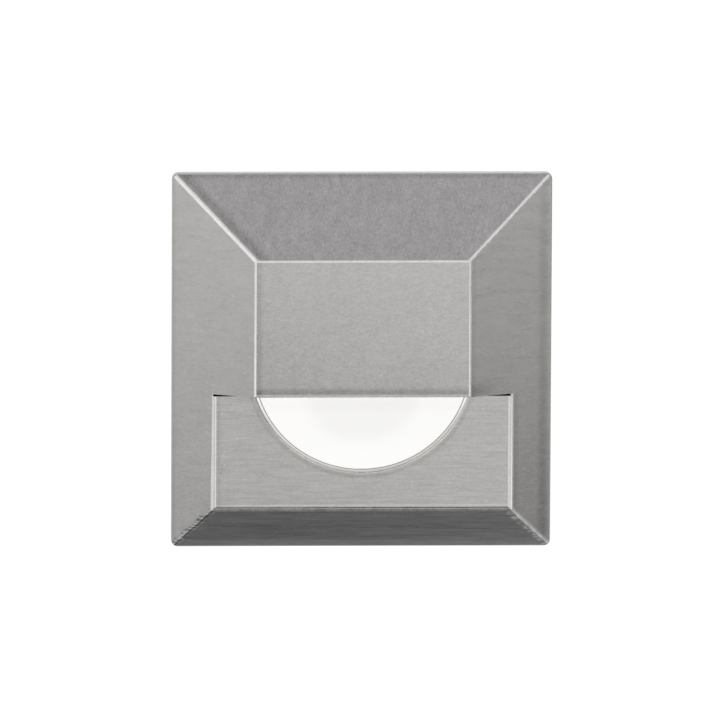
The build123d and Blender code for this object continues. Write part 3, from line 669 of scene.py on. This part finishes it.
def foot_painted_shade(tree):
    """Painted light: the foot is a little lighter along its edge and towards its right,
    and the sides' lighter tone is painted over its two corner folds in ragged streaks
    along the brush."""
    brighter_right = 2.0
    left_painted_side_light = 1.0
    right_painted_side_light = 1.2
    x, _, z = coordinates(tree)
    total = strips(tree, (z, -half, 2.0 * mm, -0.27), (z, -half, 0.8 * mm, -0.15))
    on_left = times(tree, past(tree, frayed(tree), -0.1 * mm, 0.3 * mm), -left_painted_side_light)
    on_right = times(tree, past(tree, frayed(tree), -0.55 * mm, 0.35 * mm), -right_painted_side_light)
    total = plus(tree, total, times(tree, on_left, short_of(tree, x, 0.0)))
    total = plus(tree, total, times(tree, on_right, past(tree, x, 0.0)))
    return maths(tree, "MULTIPLY_ADD", x, -brighter_right, total)


def burnished(name, grey, tint, broken, painted_light=None):
    """A fold's finish: a flat grey that is a painted highlight over the polish on the
    bright folds and painted shade on the dark ones, with the odd gap where the brush
    has crossed them. The painted light, where given, adds painted lines.
    """
    stuff, tree, skin = shader(name, metallic=1.0)
    total = spread(tree, grain(tree, (900, 900, 900), 2.0), -broken, broken)
    if painted_light is not None:
        total = maths(tree, "SUBTRACT", total, painted_light(tree))
    bright = maths(tree, "MULTIPLY_ADD", total, grey, grey)
    wire(tree, tinted(tree, bright, tint), skin.inputs["Base Color"])
    wire(tree, spread(tree, grain(tree, (900, 900, 900), 2.0), 0.2, 0.3), skin.inputs["Roughness"])
    return stuff


def side_fold_painted_light(tree):
    """Painted light on the floor's side folds: the left one has two bright arrises with a
    duller flat between, and the right one has a painted highlight."""
    x = coordinates(tree)["X"]
    return strips(
        tree,
        (x, -floor_half + 0.21 * mm, 0.12 * mm, 0.28),
        (x, floor_half + 0.22 * mm, 0.26 * mm, -0.4),
    )


def left_corner_painted_light(tree):
    """Painted light: the left corner fold's upper half is as bright as the side, with a ragged edge."""
    return times(tree, past(tree, frayed(tree), 0.1 * mm, 0.25 * mm), -1.2)


def right_corner_painted_highlight(tree):
    """Painted highlight: the right corner fold is brightest toward the foot."""
    x, _, z = coordinates(tree)
    return strips(tree, (plus(tree, z, x), -0.3 * mm, 0.5 * mm, -0.8))


def foot_fold_painted_light(tree):
    """Painted shade and highlight: the lower fold of the floor is dark along its upper
    edge and brighter below.
    """
    z = coordinates(tree)["Z"]
    start = -floor_half + floor_edge_width
    return strips(tree, (z, start, 0.28 * mm, 0.92), (z, start - 0.5 * mm, 0.4 * mm, -0.6))


plain = (1.0, 1.0, 1.0)
warm = (1.0, 0.987, 0.962)
rosy = (1.0, 0.972, 0.986)
warm_fold_tint = (1.0, 0.985, 0.96)
# The faces' shade functions paint shade and highlights into the brushed steel.
steels = {
    FRONT: brushed_steel(
        "brushed steel",
        grey=0.421,
        fine=(1500, 2500, 4200),
        coarse=(260, 600, 1500),
        contrast=0.064,
        speckle=0.070,
        shade=front_painted_shade,
        tint=warm,
    ),
    FLOOR: brushed_steel(
        "brushed steel floor",
        grey=0.421,
        fine=(300, 2500, 4800),
        coarse=(50, 600, 2200),
        contrast=0.092,
        speckle=0.06,
        shade=front_painted_shade,
        tint=warm,
    ),
    SIDE: brushed_steel(
        "brushed steel sides",
        grey=0.430,
        fine=(600, 2500, 5200),
        coarse=(130, 600, 1600),
        contrast=0.06,
        speckle=0.04,
        shade=side_painted_shade,
        tint=warm,
    ),
    TOP: brushed_steel(
        "brushed steel top",
        grey=0.430,
        fine=(3600, 2500, 1500),
        coarse=(900, 700, 400),
        contrast=0.10,
        speckle=0.11,
        shade=top_painted_shade,
        tint=rosy,
    ),
    FOOT: brushed_steel(
        "brushed steel foot",
        grey=0.430,
        fine=(240, 2500, 4800),
        coarse=(50, 900, 2400),
        contrast=0.16,
        speckle=0.06,
        shade=foot_painted_shade,
        tint=plain,
    ),
    # The bright greys of the folds and rim are painted highlights over their polish, and the dark greys
    # of the groove and the left corner fold are painted shade.
    RIDGE: burnished("burnished fold with painted highlight", 0.72, warm_fold_tint, broken=0.07),
    FOOT_FOLD: burnished("lower fold with painted light", 0.42, (1.0, 0.995, 0.985), 0.12, foot_fold_painted_light),
    RIM: burnished("burnished window rim with painted highlight", 0.74, (1.0, 0.975, 0.94), broken=0.06),
    CORNER: burnished("right corner fold with painted highlight", 0.40, warm_fold_tint, 0.30, right_corner_painted_highlight),
    SHADED_LEFT_CORNER: burnished("brushed-over left corner in painted shade", 0.185, plain, 0.25, left_corner_painted_light),
    TOP_CORNER: burnished("burnished corner with painted highlight", 0.88, warm_fold_tint, broken=0.06),
    SIDE_FOLD: burnished("burnished side fold with painted light", 0.62, warm_fold_tint, 0.08, side_fold_painted_light),
    EDGE: burnished("outer edge", 0.40, warm_fold_tint, broken=0.10),
    # The groove's near-black grey is painted shade in the recess.
    GROOVE: burnished("relief groove in painted shade", 0.05, (1.0, 0.98, 0.96), broken=0.2),
}


def slot_of(face):
    """The finish that a face of the plate gets, by its place and the way it points."""
    centre, n = face.center, face.normal
    across, up = abs(centre.x), centre.z
    in_groove = (
        floor_depth + 0.05 * mm < centre.y < plate_back - 1.0 * mm
        and lip_height - relief_width - 0.05 * mm < up < lip_height + 0.01 * mm
        and across < floor_half + 0.1 * mm
    )
    from_axis = math.hypot(centre.x, centre.z)
    slot = face.material_index
    if slot == RIDGE:
        if near(across, abs(up), 0.35 * mm) and up < -floor_half - 0.2 * mm:
            slot = CORNER if centre.x > 0 else SHADED_LEFT_CORNER
        elif near(up, -floor_half, 0.5 * mm):
            slot = FOOT_FOLD
        elif near(across, floor_half, 0.5 * mm) and up < lip_height:
            slot = SIDE_FOLD
        elif near(across, up, 0.35 * mm) and centre.y > panel_depth + 0.1 * mm:
            slot = TOP_CORNER
    elif in_groove:
        slot = GROOVE
    elif abs(n.y) < 0.5 and near(from_axis, window_radius, 0.05 * mm):
        slot = RIM
    elif slot not in (RIM, EDGE):
        if n.y < -0.95:
            slot = FRONT if centre.y < floor_depth - 1.0 * mm else FLOOR
        elif n.y < -0.5 and n.z > 0.3:
            slot = TOP
        elif n.y < -0.5 and n.z < -0.3:
            slot = FOOT
        else:
            slot = SIDE
    return slot


for slot, steel in steels.items():
    faceplate.data.materials[slot] = steel
for face in faceplate.data.polygons:
    face.material_index = slot_of(face)
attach(faceplate, "light")
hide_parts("faceplate")

# ---------------------------------------------------------------- lens
# A moulded disc of frosted polycarbonate, opal white with the lamp lit behind it. The
# faceplate's window holds it from the front and the reflector from behind.
def finish(
    name,
    colour,
    rough,
    metallic=0.0,
    vary=0.04,
    texture=(1500, 1500, 1500),
    depth=0.003 * mm,
):
    """A finish whose colour and roughness vary a little with a texture that stands up
    by the depth. The texture is a stretch for the noise or a pattern of its own."""
    stuff, tree, skin = shader(name, metallic)
    fine = texture(tree) if callable(texture) else grain(tree, texture, 3.0)
    patches = spread(tree, grain(tree, (170, 170, 170), 2.0), -vary, vary)
    level = plus(tree, spread(tree, fine, 1 - vary, 1 + vary), patches)
    wire(tree, tinted(tree, level, colour), skin.inputs["Base Color"])
    wire(tree, spread(tree, fine, *rough), skin.inputs["Roughness"])
    bumped(tree, skin, fine, depth)
    return stuff


def opened(stuff):
    """A finish's node tree and its shader, to work on further."""
    return stuff.node_tree, stuff.node_tree.nodes["Principled BSDF"]


def overlaid(tree, skin, share, colour):
    """Lays a second colour over a finish's own where the share is 1."""
    node = tree.nodes.new("ShaderNodeMix")
    node.data_type = "RGBA"
    factor, under, over = (node.inputs[n] for n in (0, 6, 7))
    wire(tree, share, factor)
    wire(tree, skin.inputs["Base Color"].links[0].from_socket, under)
    over.default_value = (*colour, 1)
    wire(tree, node.outputs[2], skin.inputs["Base Color"])


def dress(node, stuff):
    """Gives a CAD piece its finish."""
    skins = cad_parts[node].data.materials
    skins.clear()
    skins.append(stuff)


# It glows as the lit lamp, and more just under the hood, where the extra glow is painted
# light that fills the hood's shadow, and least in an arch below the lip's middle. A thin
# dark line of painted shade marks the edge of its front, and the flank outside that is a
# little duller, painted shade in the window's gap.
lens_glow = 0.370
painted_hood_fill = 0.21
painted_fill_top = lip_height - 0.75 * mm
painted_fill_end = lip_height - 5.15 * mm
arch_glow = 0.055
arch_radius = 7.3 * mm
arch_soft = 1.3 * mm
arch_flatness = 0.87
painted_fill_falloff = 1.4
edge_radius = 16.25 * mm
edge_width = 0.14 * mm
edge_shade_loss = 0.9
edge_shade_colour = (0.30, 0.28, 0.26)
flank_radius = 16.34 * mm
flank_shade_loss = 0.15

frosted = finish("frosted polycarbonate", (0.80, 0.80, 0.795), (0.42, 0.5), vary=0.008)
tree, skin = opened(frosted)
x, _, z = coordinates(tree)
# Painted light: the glow grows toward the hood's lip to fill the hood's shadow.
lit = spread(tree, z, 0.0, 1.0, painted_fill_end, painted_fill_top)
painted_fill = times(tree, maths(tree, "POWER", lit, painted_fill_falloff), painted_hood_fill)
across = maths(tree, "POWER", times(tree, x, arch_flatness), 2.0)
below = maths(tree, "POWER", maths(tree, "SUBTRACT", z, lip_height), 2.0)
from_lip = maths(tree, "SQRT", plus(tree, across, below))
outside_arch = times(tree, past(tree, from_lip, arch_radius, arch_soft), arch_glow)
glow = plus(tree, plus(tree, painted_fill, lens_glow), outside_arch)
# Painted shade: a dark line round the front's edge and a duller flank outside it.
edge = band(tree, from_spot(tree), edge_radius, edge_width)
flank = past(tree, from_spot(tree), flank_radius)
kept = maths(tree, "MULTIPLY_ADD", flank, -flank_shade_loss, 1.0)
kept = plus(tree, kept, times(tree, edge, -edge_shade_loss))
skin.inputs["Emission Color"].default_value = (1.0, 0.990, 0.972, 1)
wire(tree, times(tree, glow, kept), skin.inputs["Emission Strength"])
overlaid(tree, skin, edge, edge_shade_colour)
dress("lens", frosted)

# ---------------------------------------------------------------- lens gasket
# A flat ring of translucent silicone. It lies on the faceplate's seat, and the lens's
# flange presses on it.
dress("lens_gasket", finish("silicone", (0.72, 0.72, 0.70), (0.38, 0.5)))

# ---------------------------------------------------------------- reflector
# A cone moulded in bright white plastic that sends the lamp's light forward. Its
# flange drops into the front of the body and holds the lens from behind.
dress("reflector", finish("bright white moulding", (0.86, 0.86, 0.85), (0.2, 0.3), vary=0.01))

# ---------------------------------------------------------------- LED board
# A round aluminium board under white solder mask, with its copper tracks showing
# faintly through, seven LED packages on it and two stainless screws through it.
board_front = 9.2 * mm
mask_thickness = 0.1 * mm
ring_radius = 5.2 * mm
inner_track = ring_radius + 2.3 * mm
inner_track_width = 0.3 * mm
outer_track = ring_radius + 5.4 * mm
outer_track_width = 0.5 * mm
package_height = 0.7 * mm
phosphor_radius = 1.1 * mm
bare_aluminium = (0.55, 0.56, 0.58)

masked = finish("white mask on aluminium", (0.84, 0.84, 0.82), (0.35, 0.45), vary=0.02)
tree, skin = opened(masked)
y = coordinates(tree)["Y"]
out = from_spot(tree)
inner = band(tree, out, inner_track, inner_track_width)
outer = band(tree, out, outer_track, outer_track_width)
overlaid(tree, skin, plus(tree, inner, outer), (0.62, 0.63, 0.60))
overlaid(tree, skin, past(tree, y, board_front + mask_thickness), bare_aluminium)
dress("led_board", masked)

# One package is in the middle and six are round it, so a point is folded into the
# nearest sixth of the turn to find how far it is from the nearest package's centre.
packages = finish("LED package", (0.82, 0.82, 0.80), (0.3, 0.4), vary=0.02)
tree, skin = opened(packages)
x, y, z = coordinates(tree)
turn = maths(tree, "ARCTAN2", z, x)
sixth = math.radians(60)
folded = maths(tree, "FLOORED_MODULO", plus(tree, turn, sixth / 2), sixth)
folded = maths(tree, "SUBTRACT", folded, sixth / 2)
out = from_spot(tree)
along = times(tree, out, maths(tree, "COSINE", folded))
along = maths(tree, "POWER", maths(tree, "SUBTRACT", along, ring_radius), 2.0)
aside = maths(tree, "POWER", times(tree, out, maths(tree, "SINE", folded)), 2.0)
nearest = maths(tree, "SQRT", plus(tree, along, aside))
nearest = maths(tree, "MINIMUM", nearest, out)
front = short_of(tree, y, board_front - package_height + 0.05 * mm)
phosphor = times(tree, short_of(tree, nearest, phosphor_radius), front)
overlaid(tree, skin, phosphor, (0.86, 0.62, 0.10))
dress("led_packages", packages)


def metal(name, colour, rough, texture, depth, vary=0.06):
    """A metal's finish: what the tool or the rollers left on it."""
    return finish(name, colour, rough, 1.0, vary, texture, depth)


stainless = metal("stainless screw", (0.56, 0.555, 0.55), (0.25, 0.38), (1800, 900, 1800), 0.002 * mm)
dress("led_board_screws", stainless)

# ---------------------------------------------------------------- thermal pad and heat sink
# A soft grey silicone pad, and the extruded aluminium disc with fins that it is
# pressed against. The heat sink drops into its bore from the front.
dress("thermal_pad", finish("soft pad", (0.42, 0.47, 0.52), (0.65, 0.8), vary=0.06))
extruded = metal("extruded aluminium", (0.72, 0.73, 0.75), (0.3, 0.42), (2600, 90, 2600), 0.003 * mm)
dress("heat_sink", extruded)

# ---------------------------------------------------------------- body
# The turned aluminium tube that goes into the wall, with its flange, two milled flats
# for the wing brackets and a bore from each end. The faceplate screws on to it.
flat_from_axis = 18.5 * mm
rings_per_metre = 5000
breaks_per_metre = 40
weld = 0.0005 * mm


def turned(tree):
    """Noise drawn out into rings round the light's axis, as the lathe's tool leaves it."""
    x, y, _ = coordinates(tree)
    join = tree.nodes.new("ShaderNodeCombineXYZ")
    wire(tree, times(tree, from_spot(tree), rings_per_metre), join.inputs["X"])
    wire(tree, times(tree, y, rings_per_metre), join.inputs["Y"])
    wire(tree, times(tree, x, breaks_per_metre), join.inputs["Z"])
    noise = tree.nodes.new("ShaderNodeTexNoise")
    noise.inputs["Scale"].default_value = 1.0
    noise.inputs["Detail"].default_value = 2.0
    wire(tree, join.outputs[0], noise.inputs["Vector"])
    return noise.outputs["Fac"]


def turned_and_milled(tree):
    """Rings all over, and straight cutter marks on the two flats."""
    x = coordinates(tree)["X"]
    on_flat = band(tree, maths(tree, "ABSOLUTE", x), flat_from_axis, 0.03 * mm)
    both = tree.nodes.new("ShaderNodeMix")
    factor, rings, cutter_marks = (both.inputs[n] for n in (0, 2, 3))
    wire(tree, on_flat, factor)
    wire(tree, turned(tree), rings)
    wire(tree, grain(tree, (300, 300, 4500), 2.0), cutter_marks)
    return both.outputs[0]


def eased(node, name, width, segments=2):
    """A copy of a CAD piece with its sharp edges taken off, as by a deburring tool."""
    piece = bpy.data.objects.new(name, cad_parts[node].data.copy())
    bpy.context.scene.collection.objects.link(piece)
    alone(piece)
    bpy.ops.object.mode_set(mode="EDIT")
    bpy.ops.mesh.select_all(action="SELECT")
    bpy.ops.mesh.remove_doubles(threshold=weld)
    bpy.ops.mesh.dissolve_limited(angle_limit=math.radians(0.5))
    bpy.ops.object.mode_set(mode="OBJECT")
    soften = piece.modifiers.new("edges", "BEVEL")
    soften.limit_method = "ANGLE"
    soften.angle_limit = math.radians(35)
    soften.width = width
    soften.segments = segments
    bpy.ops.object.modifier_apply(modifier=soften.name)
    bpy.ops.object.shade_smooth_by_angle(angle=math.radians(32))
    return piece


def finished(piece, stuff, body, node):
    """Gives a new piece its one finish and puts it in the CAD piece's stead."""
    piece.data.materials.clear()
    piece.data.materials.append(stuff)
    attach(piece, body)
    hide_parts(node)


lathe_aluminium = metal(
    "turned aluminium", (0.56, 0.565, 0.58), (0.28, 0.42), turned_and_milled, 0.006 * mm, vary=0.04
)
finished(eased("body", "turned_body", 0.15 * mm), lathe_aluminium, "light", "body")

# ---------------------------------------------------------------- wall gasket and face O-ring
# A square of black cellular rubber that the faceplate presses on the wall, and the
# nitrile ring that seals the body's flange.
cellular = finish(
    "cellular rubber",
    (0.035, 0.035, 0.036),
    (0.7, 0.88),
    vary=0.22,
    texture=(2600, 2600, 2600),
    depth=0.05 * mm,
)
dress("wall_gasket", cellular)
nitrile = finish("black nitrile", (0.028, 0.028, 0.028), (0.35, 0.5), vary=0.08, depth=0.002 * mm)
dress("face_o_ring", nitrile)

# ---------------------------------------------------------------- face screws
# Four stainless cross-recess screws. They pass through the body's flange from behind
# into the faceplate's tapped holes.
dress("face_screws", stainless)

# ---------------------------------------------------------------- driver board
# A round board of green glass-fibre laminate that turns the supply into the lamp's
# steady current. Three screws hold it to the body's bosses, and its parts stand on it.
board_radius = 14.5 * mm
copper_areas = 520
gap_width = 0.07


def copper_gaps(tree):
    """1 in the gaps between the areas of copper under the green mask."""
    place = tree.nodes.new("ShaderNodeTexCoord")
    cells = tree.nodes.new("ShaderNodeTexVoronoi")
    cells.feature = "DISTANCE_TO_EDGE"
    cells.inputs["Scale"].default_value = copper_areas
    cells.inputs["Randomness"].default_value = 0.55
    wire(tree, place.outputs["Object"], cells.inputs["Vector"])
    return short_of(tree, cells.outputs["Distance"], gap_width, 0.02)


laminate = finish(
    "green laminate", (0.03, 0.22, 0.09), (0.25, 0.4), vary=0.08, texture=(4000, 4000, 4000)
)
tree, skin = opened(laminate)
overlaid(tree, skin, copper_gaps(tree), (0.012, 0.12, 0.045))
sawn_edge = past(tree, from_spot(tree), board_radius - 0.03 * mm, 0.01 * mm)
overlaid(tree, skin, sawn_edge, (0.32, 0.34, 0.16))
dress("driver_board", laminate)
dress("driver_board_screws", stainless)

epoxy = finish(
    "moulded epoxy", (0.03, 0.03, 0.032), (0.45, 0.62), vary=0.12, texture=(5000, 5000, 5000)
)
dress("rectifier", epoxy)
dress("driver_chip", epoxy)

# The smoothing capacitor's dark sleeve has a pale stripe down one side, and leaves
# the aluminium can bare at the end.
capacitor_spot = (7.397 * mm, -4.804 * mm)
capacitor_end = 34.2 * mm
stripe_start = capacitor_spot[0] + 2.6 * mm
bare_radius = 2.5 * mm
sleeved = finish("shrunk sleeve", (0.035, 0.035, 0.06), (0.2, 0.32), vary=0.05)
tree, skin = opened(sleeved)
x, y, _ = coordinates(tree)
overlaid(tree, skin, past(tree, x, stripe_start, 0.08 * mm), bare_aluminium)
at_end = past(tree, y, capacitor_end - 0.1 * mm)
can = times(tree, at_end, short_of(tree, from_spot(tree, *capacitor_spot), bare_radius))
overlaid(tree, skin, can, (0.60, 0.61, 0.63))
wire(tree, can, skin.inputs["Metallic"])
dress("capacitor", sleeved)

dress("film_capacitor", finish("ochre epoxy", (0.62, 0.42, 0.06), (0.22, 0.34)))
ferrite = finish("sintered ferrite", (0.10, 0.10, 0.11), (0.55, 0.7), vary=0.18, depth=0.01 * mm)
dress("inductor_core", ferrite)

winding_pitch = 0.32 * mm


def turns_of_wire(tree):
    """One ridge for each turn of the winding."""
    turn = times(tree, coordinates(tree)["Y"], math.pi / winding_pitch)
    return maths(tree, "ABSOLUTE", maths(tree, "SINE", turn))


wound = metal("enamelled copper", (0.60, 0.24, 0.09), (0.2, 0.34), turns_of_wire, 0.08 * mm, vary=0.12)
dress("inductor_winding", wound)
dress("terminal_block", finish("green polyamide", (0.05, 0.26, 0.09), (0.35, 0.48), vary=0.06))
plated = metal("zinc plate", (0.66, 0.67, 0.69), (0.18, 0.32), (900, 900, 900), 0.002 * mm, vary=0.08)
dress("terminal_screws", plated)

# ---------------------------------------------------------------- leads
# Two flexible leads in red and black insulation. They run from the LED board through
# notches in its edge and the heat sink's to the driver board.
for node, colour in (("lead_red", (0.58, 0.02, 0.02)), ("lead_black", (0.022, 0.022, 0.022))):
    dress(node, finish(node.replace("_", " ") + " insulation", colour, (0.28, 0.4), vary=0.06))

# ---------------------------------------------------------------- rear cap
# The turned aluminium lid of the driver bay. Its spigot carries an O-ring, and three
# screws hold it to the body's rim.
cap_aluminium = metal(
    "turned aluminium cap", (0.53, 0.535, 0.55), (0.28, 0.42), turned, 0.006 * mm, vary=0.04
)
rear_cap = eased("rear_cap", "turned_rear_cap", 0.12 * mm)
finished(rear_cap, cap_aluminium, "light", "rear_cap")
dress("cap_o_ring", nitrile)
dress("cap_screws", stainless)

# ---------------------------------------------------------------- cable gland
# A black polyamide gland through the rear cap, clamped by its locknut inside on a
# rubber washer. The nut closes the rubber seal on the supply cable, which isn't here.
polyamide = finish(
    "black polyamide",
    (0.028, 0.028, 0.030),
    (0.42, 0.58),
    vary=0.12,
    texture=(3800, 3800, 3800),
    depth=0.012 * mm,
)
gland_rubber = finish("gland rubber", (0.05, 0.05, 0.05), (0.6, 0.75), vary=0.15, depth=0.01 * mm)
fitting = eased("gland_body", "gland_fitting", 0.2 * mm)
finished(fitting, polyamide, "light", "gland_body")
dome_nut = eased("gland_nut", "gland_dome_nut", 0.25 * mm, segments=3)
finished(dome_nut, polyamide, "light", "gland_nut")
dress("gland_locknut", polyamide)
dress("gland_washer", gland_rubber)
dress("gland_seal", gland_rubber)

# ---------------------------------------------------------------- brackets and hinge pins
# A folded stainless plate on each flat of the body, held by two screws, whose ears
# carry a pin that is riveted over at both ends.
sheet_steel = metal(
    "pressed stainless sheet", (0.55, 0.55, 0.55), (0.24, 0.36), (3600, 160, 3600), 0.003 * mm
)
drawn_steel = metal(
    "drawn stainless pin", (0.60, 0.60, 0.595), (0.18, 0.28), (3600, 3600, 160), 0.002 * mm
)
for side in ("right", "left"):
    bracket = eased("bracket_" + side, "folded_bracket_" + side, 0.08 * mm)
    finished(bracket, sheet_steel, "light", "bracket_" + side)
    dress("bracket_screws_" + side, stainless)
    dress("hinge_pin_" + side, drawn_steel)

# ---------------------------------------------------------------- wings
# Channels of spring steel that swing on the pins. They fold in to pass the hole and
# spring out behind it, with a turned-in tip that bears on the wall.
spring_steel = metal(
    "pressed spring steel", (0.52, 0.525, 0.54), (0.22, 0.34), (3600, 3600, 200), 0.003 * mm
)
for side, body in (("right", "wing_r"), ("left", "wing_l")):
    wing = eased("wing_" + side, "retaining_wing_" + side, 0.08 * mm)
    finished(wing, spring_steel, body, "wing_" + side)

# ---------------------------------------------------------------- wing springs
# Torsion springs of drawn stainless wire round the pins: five turns, one leg that
# pushes on the wing and one that rests on the bracket.
wire_radius = 0.25 * mm
coil_radius = 1.45 * mm
coil_turns = 5
coil_pitch = 0.95 * mm
wing_leg = 6.5 * mm
base_leg = 5.0 * mm
touch_gap = 0.04 * mm
pivot = Vector((21.5 * mm, 26.0 * mm, 0))
pivot_height = 2.2 * mm
wing_angle = math.radians(24)
steps_per_turn = 28

# Each leg leaves the coil straight, at the angle that lays its end on the wing or on
# the bracket's base.
climb = coil_pitch / (2 * math.pi)
wing_rise = wire_radius + touch_gap
base_rise = pivot_height - wire_radius - touch_gap
wing_reach = math.hypot(wing_leg, coil_radius)
base_reach = math.hypot(base_leg, coil_radius)
first = math.pi + wing_angle + math.asin(coil_radius / wing_reach)
first -= math.asin(wing_rise / wing_reach)
last = math.pi - 2 * math.pi * coil_turns + math.asin(base_rise / base_reach)
last -= math.asin(coil_radius / base_reach)
coil_height = climb * (first - last)


def on_coil(angle):
    """The wire's middle at an angle round the pin."""
    spot = Vector((coil_radius * math.cos(angle), coil_radius * math.sin(angle), 0))
    return pivot + spot + Vector((0, 0, (first - angle) * climb - coil_height / 2))


def along_coil(angle):
    """The way the wire runs there."""
    onward = Vector((coil_radius * math.sin(angle), -coil_radius * math.cos(angle), climb))
    return onward.normalized()


spring_wire = metal(
    "drawn spring wire", (0.55, 0.55, 0.56), (0.16, 0.28), (2400, 2400, 2400), 0.002 * mm
)
steps = math.ceil(steps_per_turn * (first - last) / (2 * math.pi))
angles = [first + (last - first) * n / steps for n in range(steps + 1)]
route = [on_coil(first) - along_coil(first) * wing_leg]
route += [on_coil(angle) for angle in angles]
route += [on_coil(last) + along_coil(last) * base_leg]
for name, side, body in (("right", 1, "wing_r"), ("left", -1, "wing_l")):
    line = bpy.data.curves.new("torsion_spring_" + name, "CURVE")
    line.dimensions = "3D"
    line.bevel_depth = wire_radius
    line.bevel_resolution = 4
    line.use_fill_caps = True
    run = line.splines.new("POLY")
    run.points.add(len(route) - 1)
    for point, place in zip(run.points, route):
        point.co = (side * place.x, place.y, side * place.z, 1)
    spring = bpy.data.objects.new("torsion_spring_" + name, line)
    bpy.context.scene.collection.objects.link(spring)
    alone(spring)
    bpy.ops.object.convert(target="MESH")
    spring = bpy.context.object
    bpy.ops.object.mode_set(mode="EDIT")
    bpy.ops.mesh.select_all(action="SELECT")
    bpy.ops.mesh.remove_doubles(threshold=weld)
    bpy.ops.mesh.normals_make_consistent(inside=False)
    bpy.ops.object.mode_set(mode="OBJECT")
    bpy.ops.object.shade_smooth_by_angle(angle=math.radians(40))
    spring.data.materials.clear()
    spring.data.materials.append(spring_wire)
    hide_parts("wing_spring_" + name)
    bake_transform(spring)
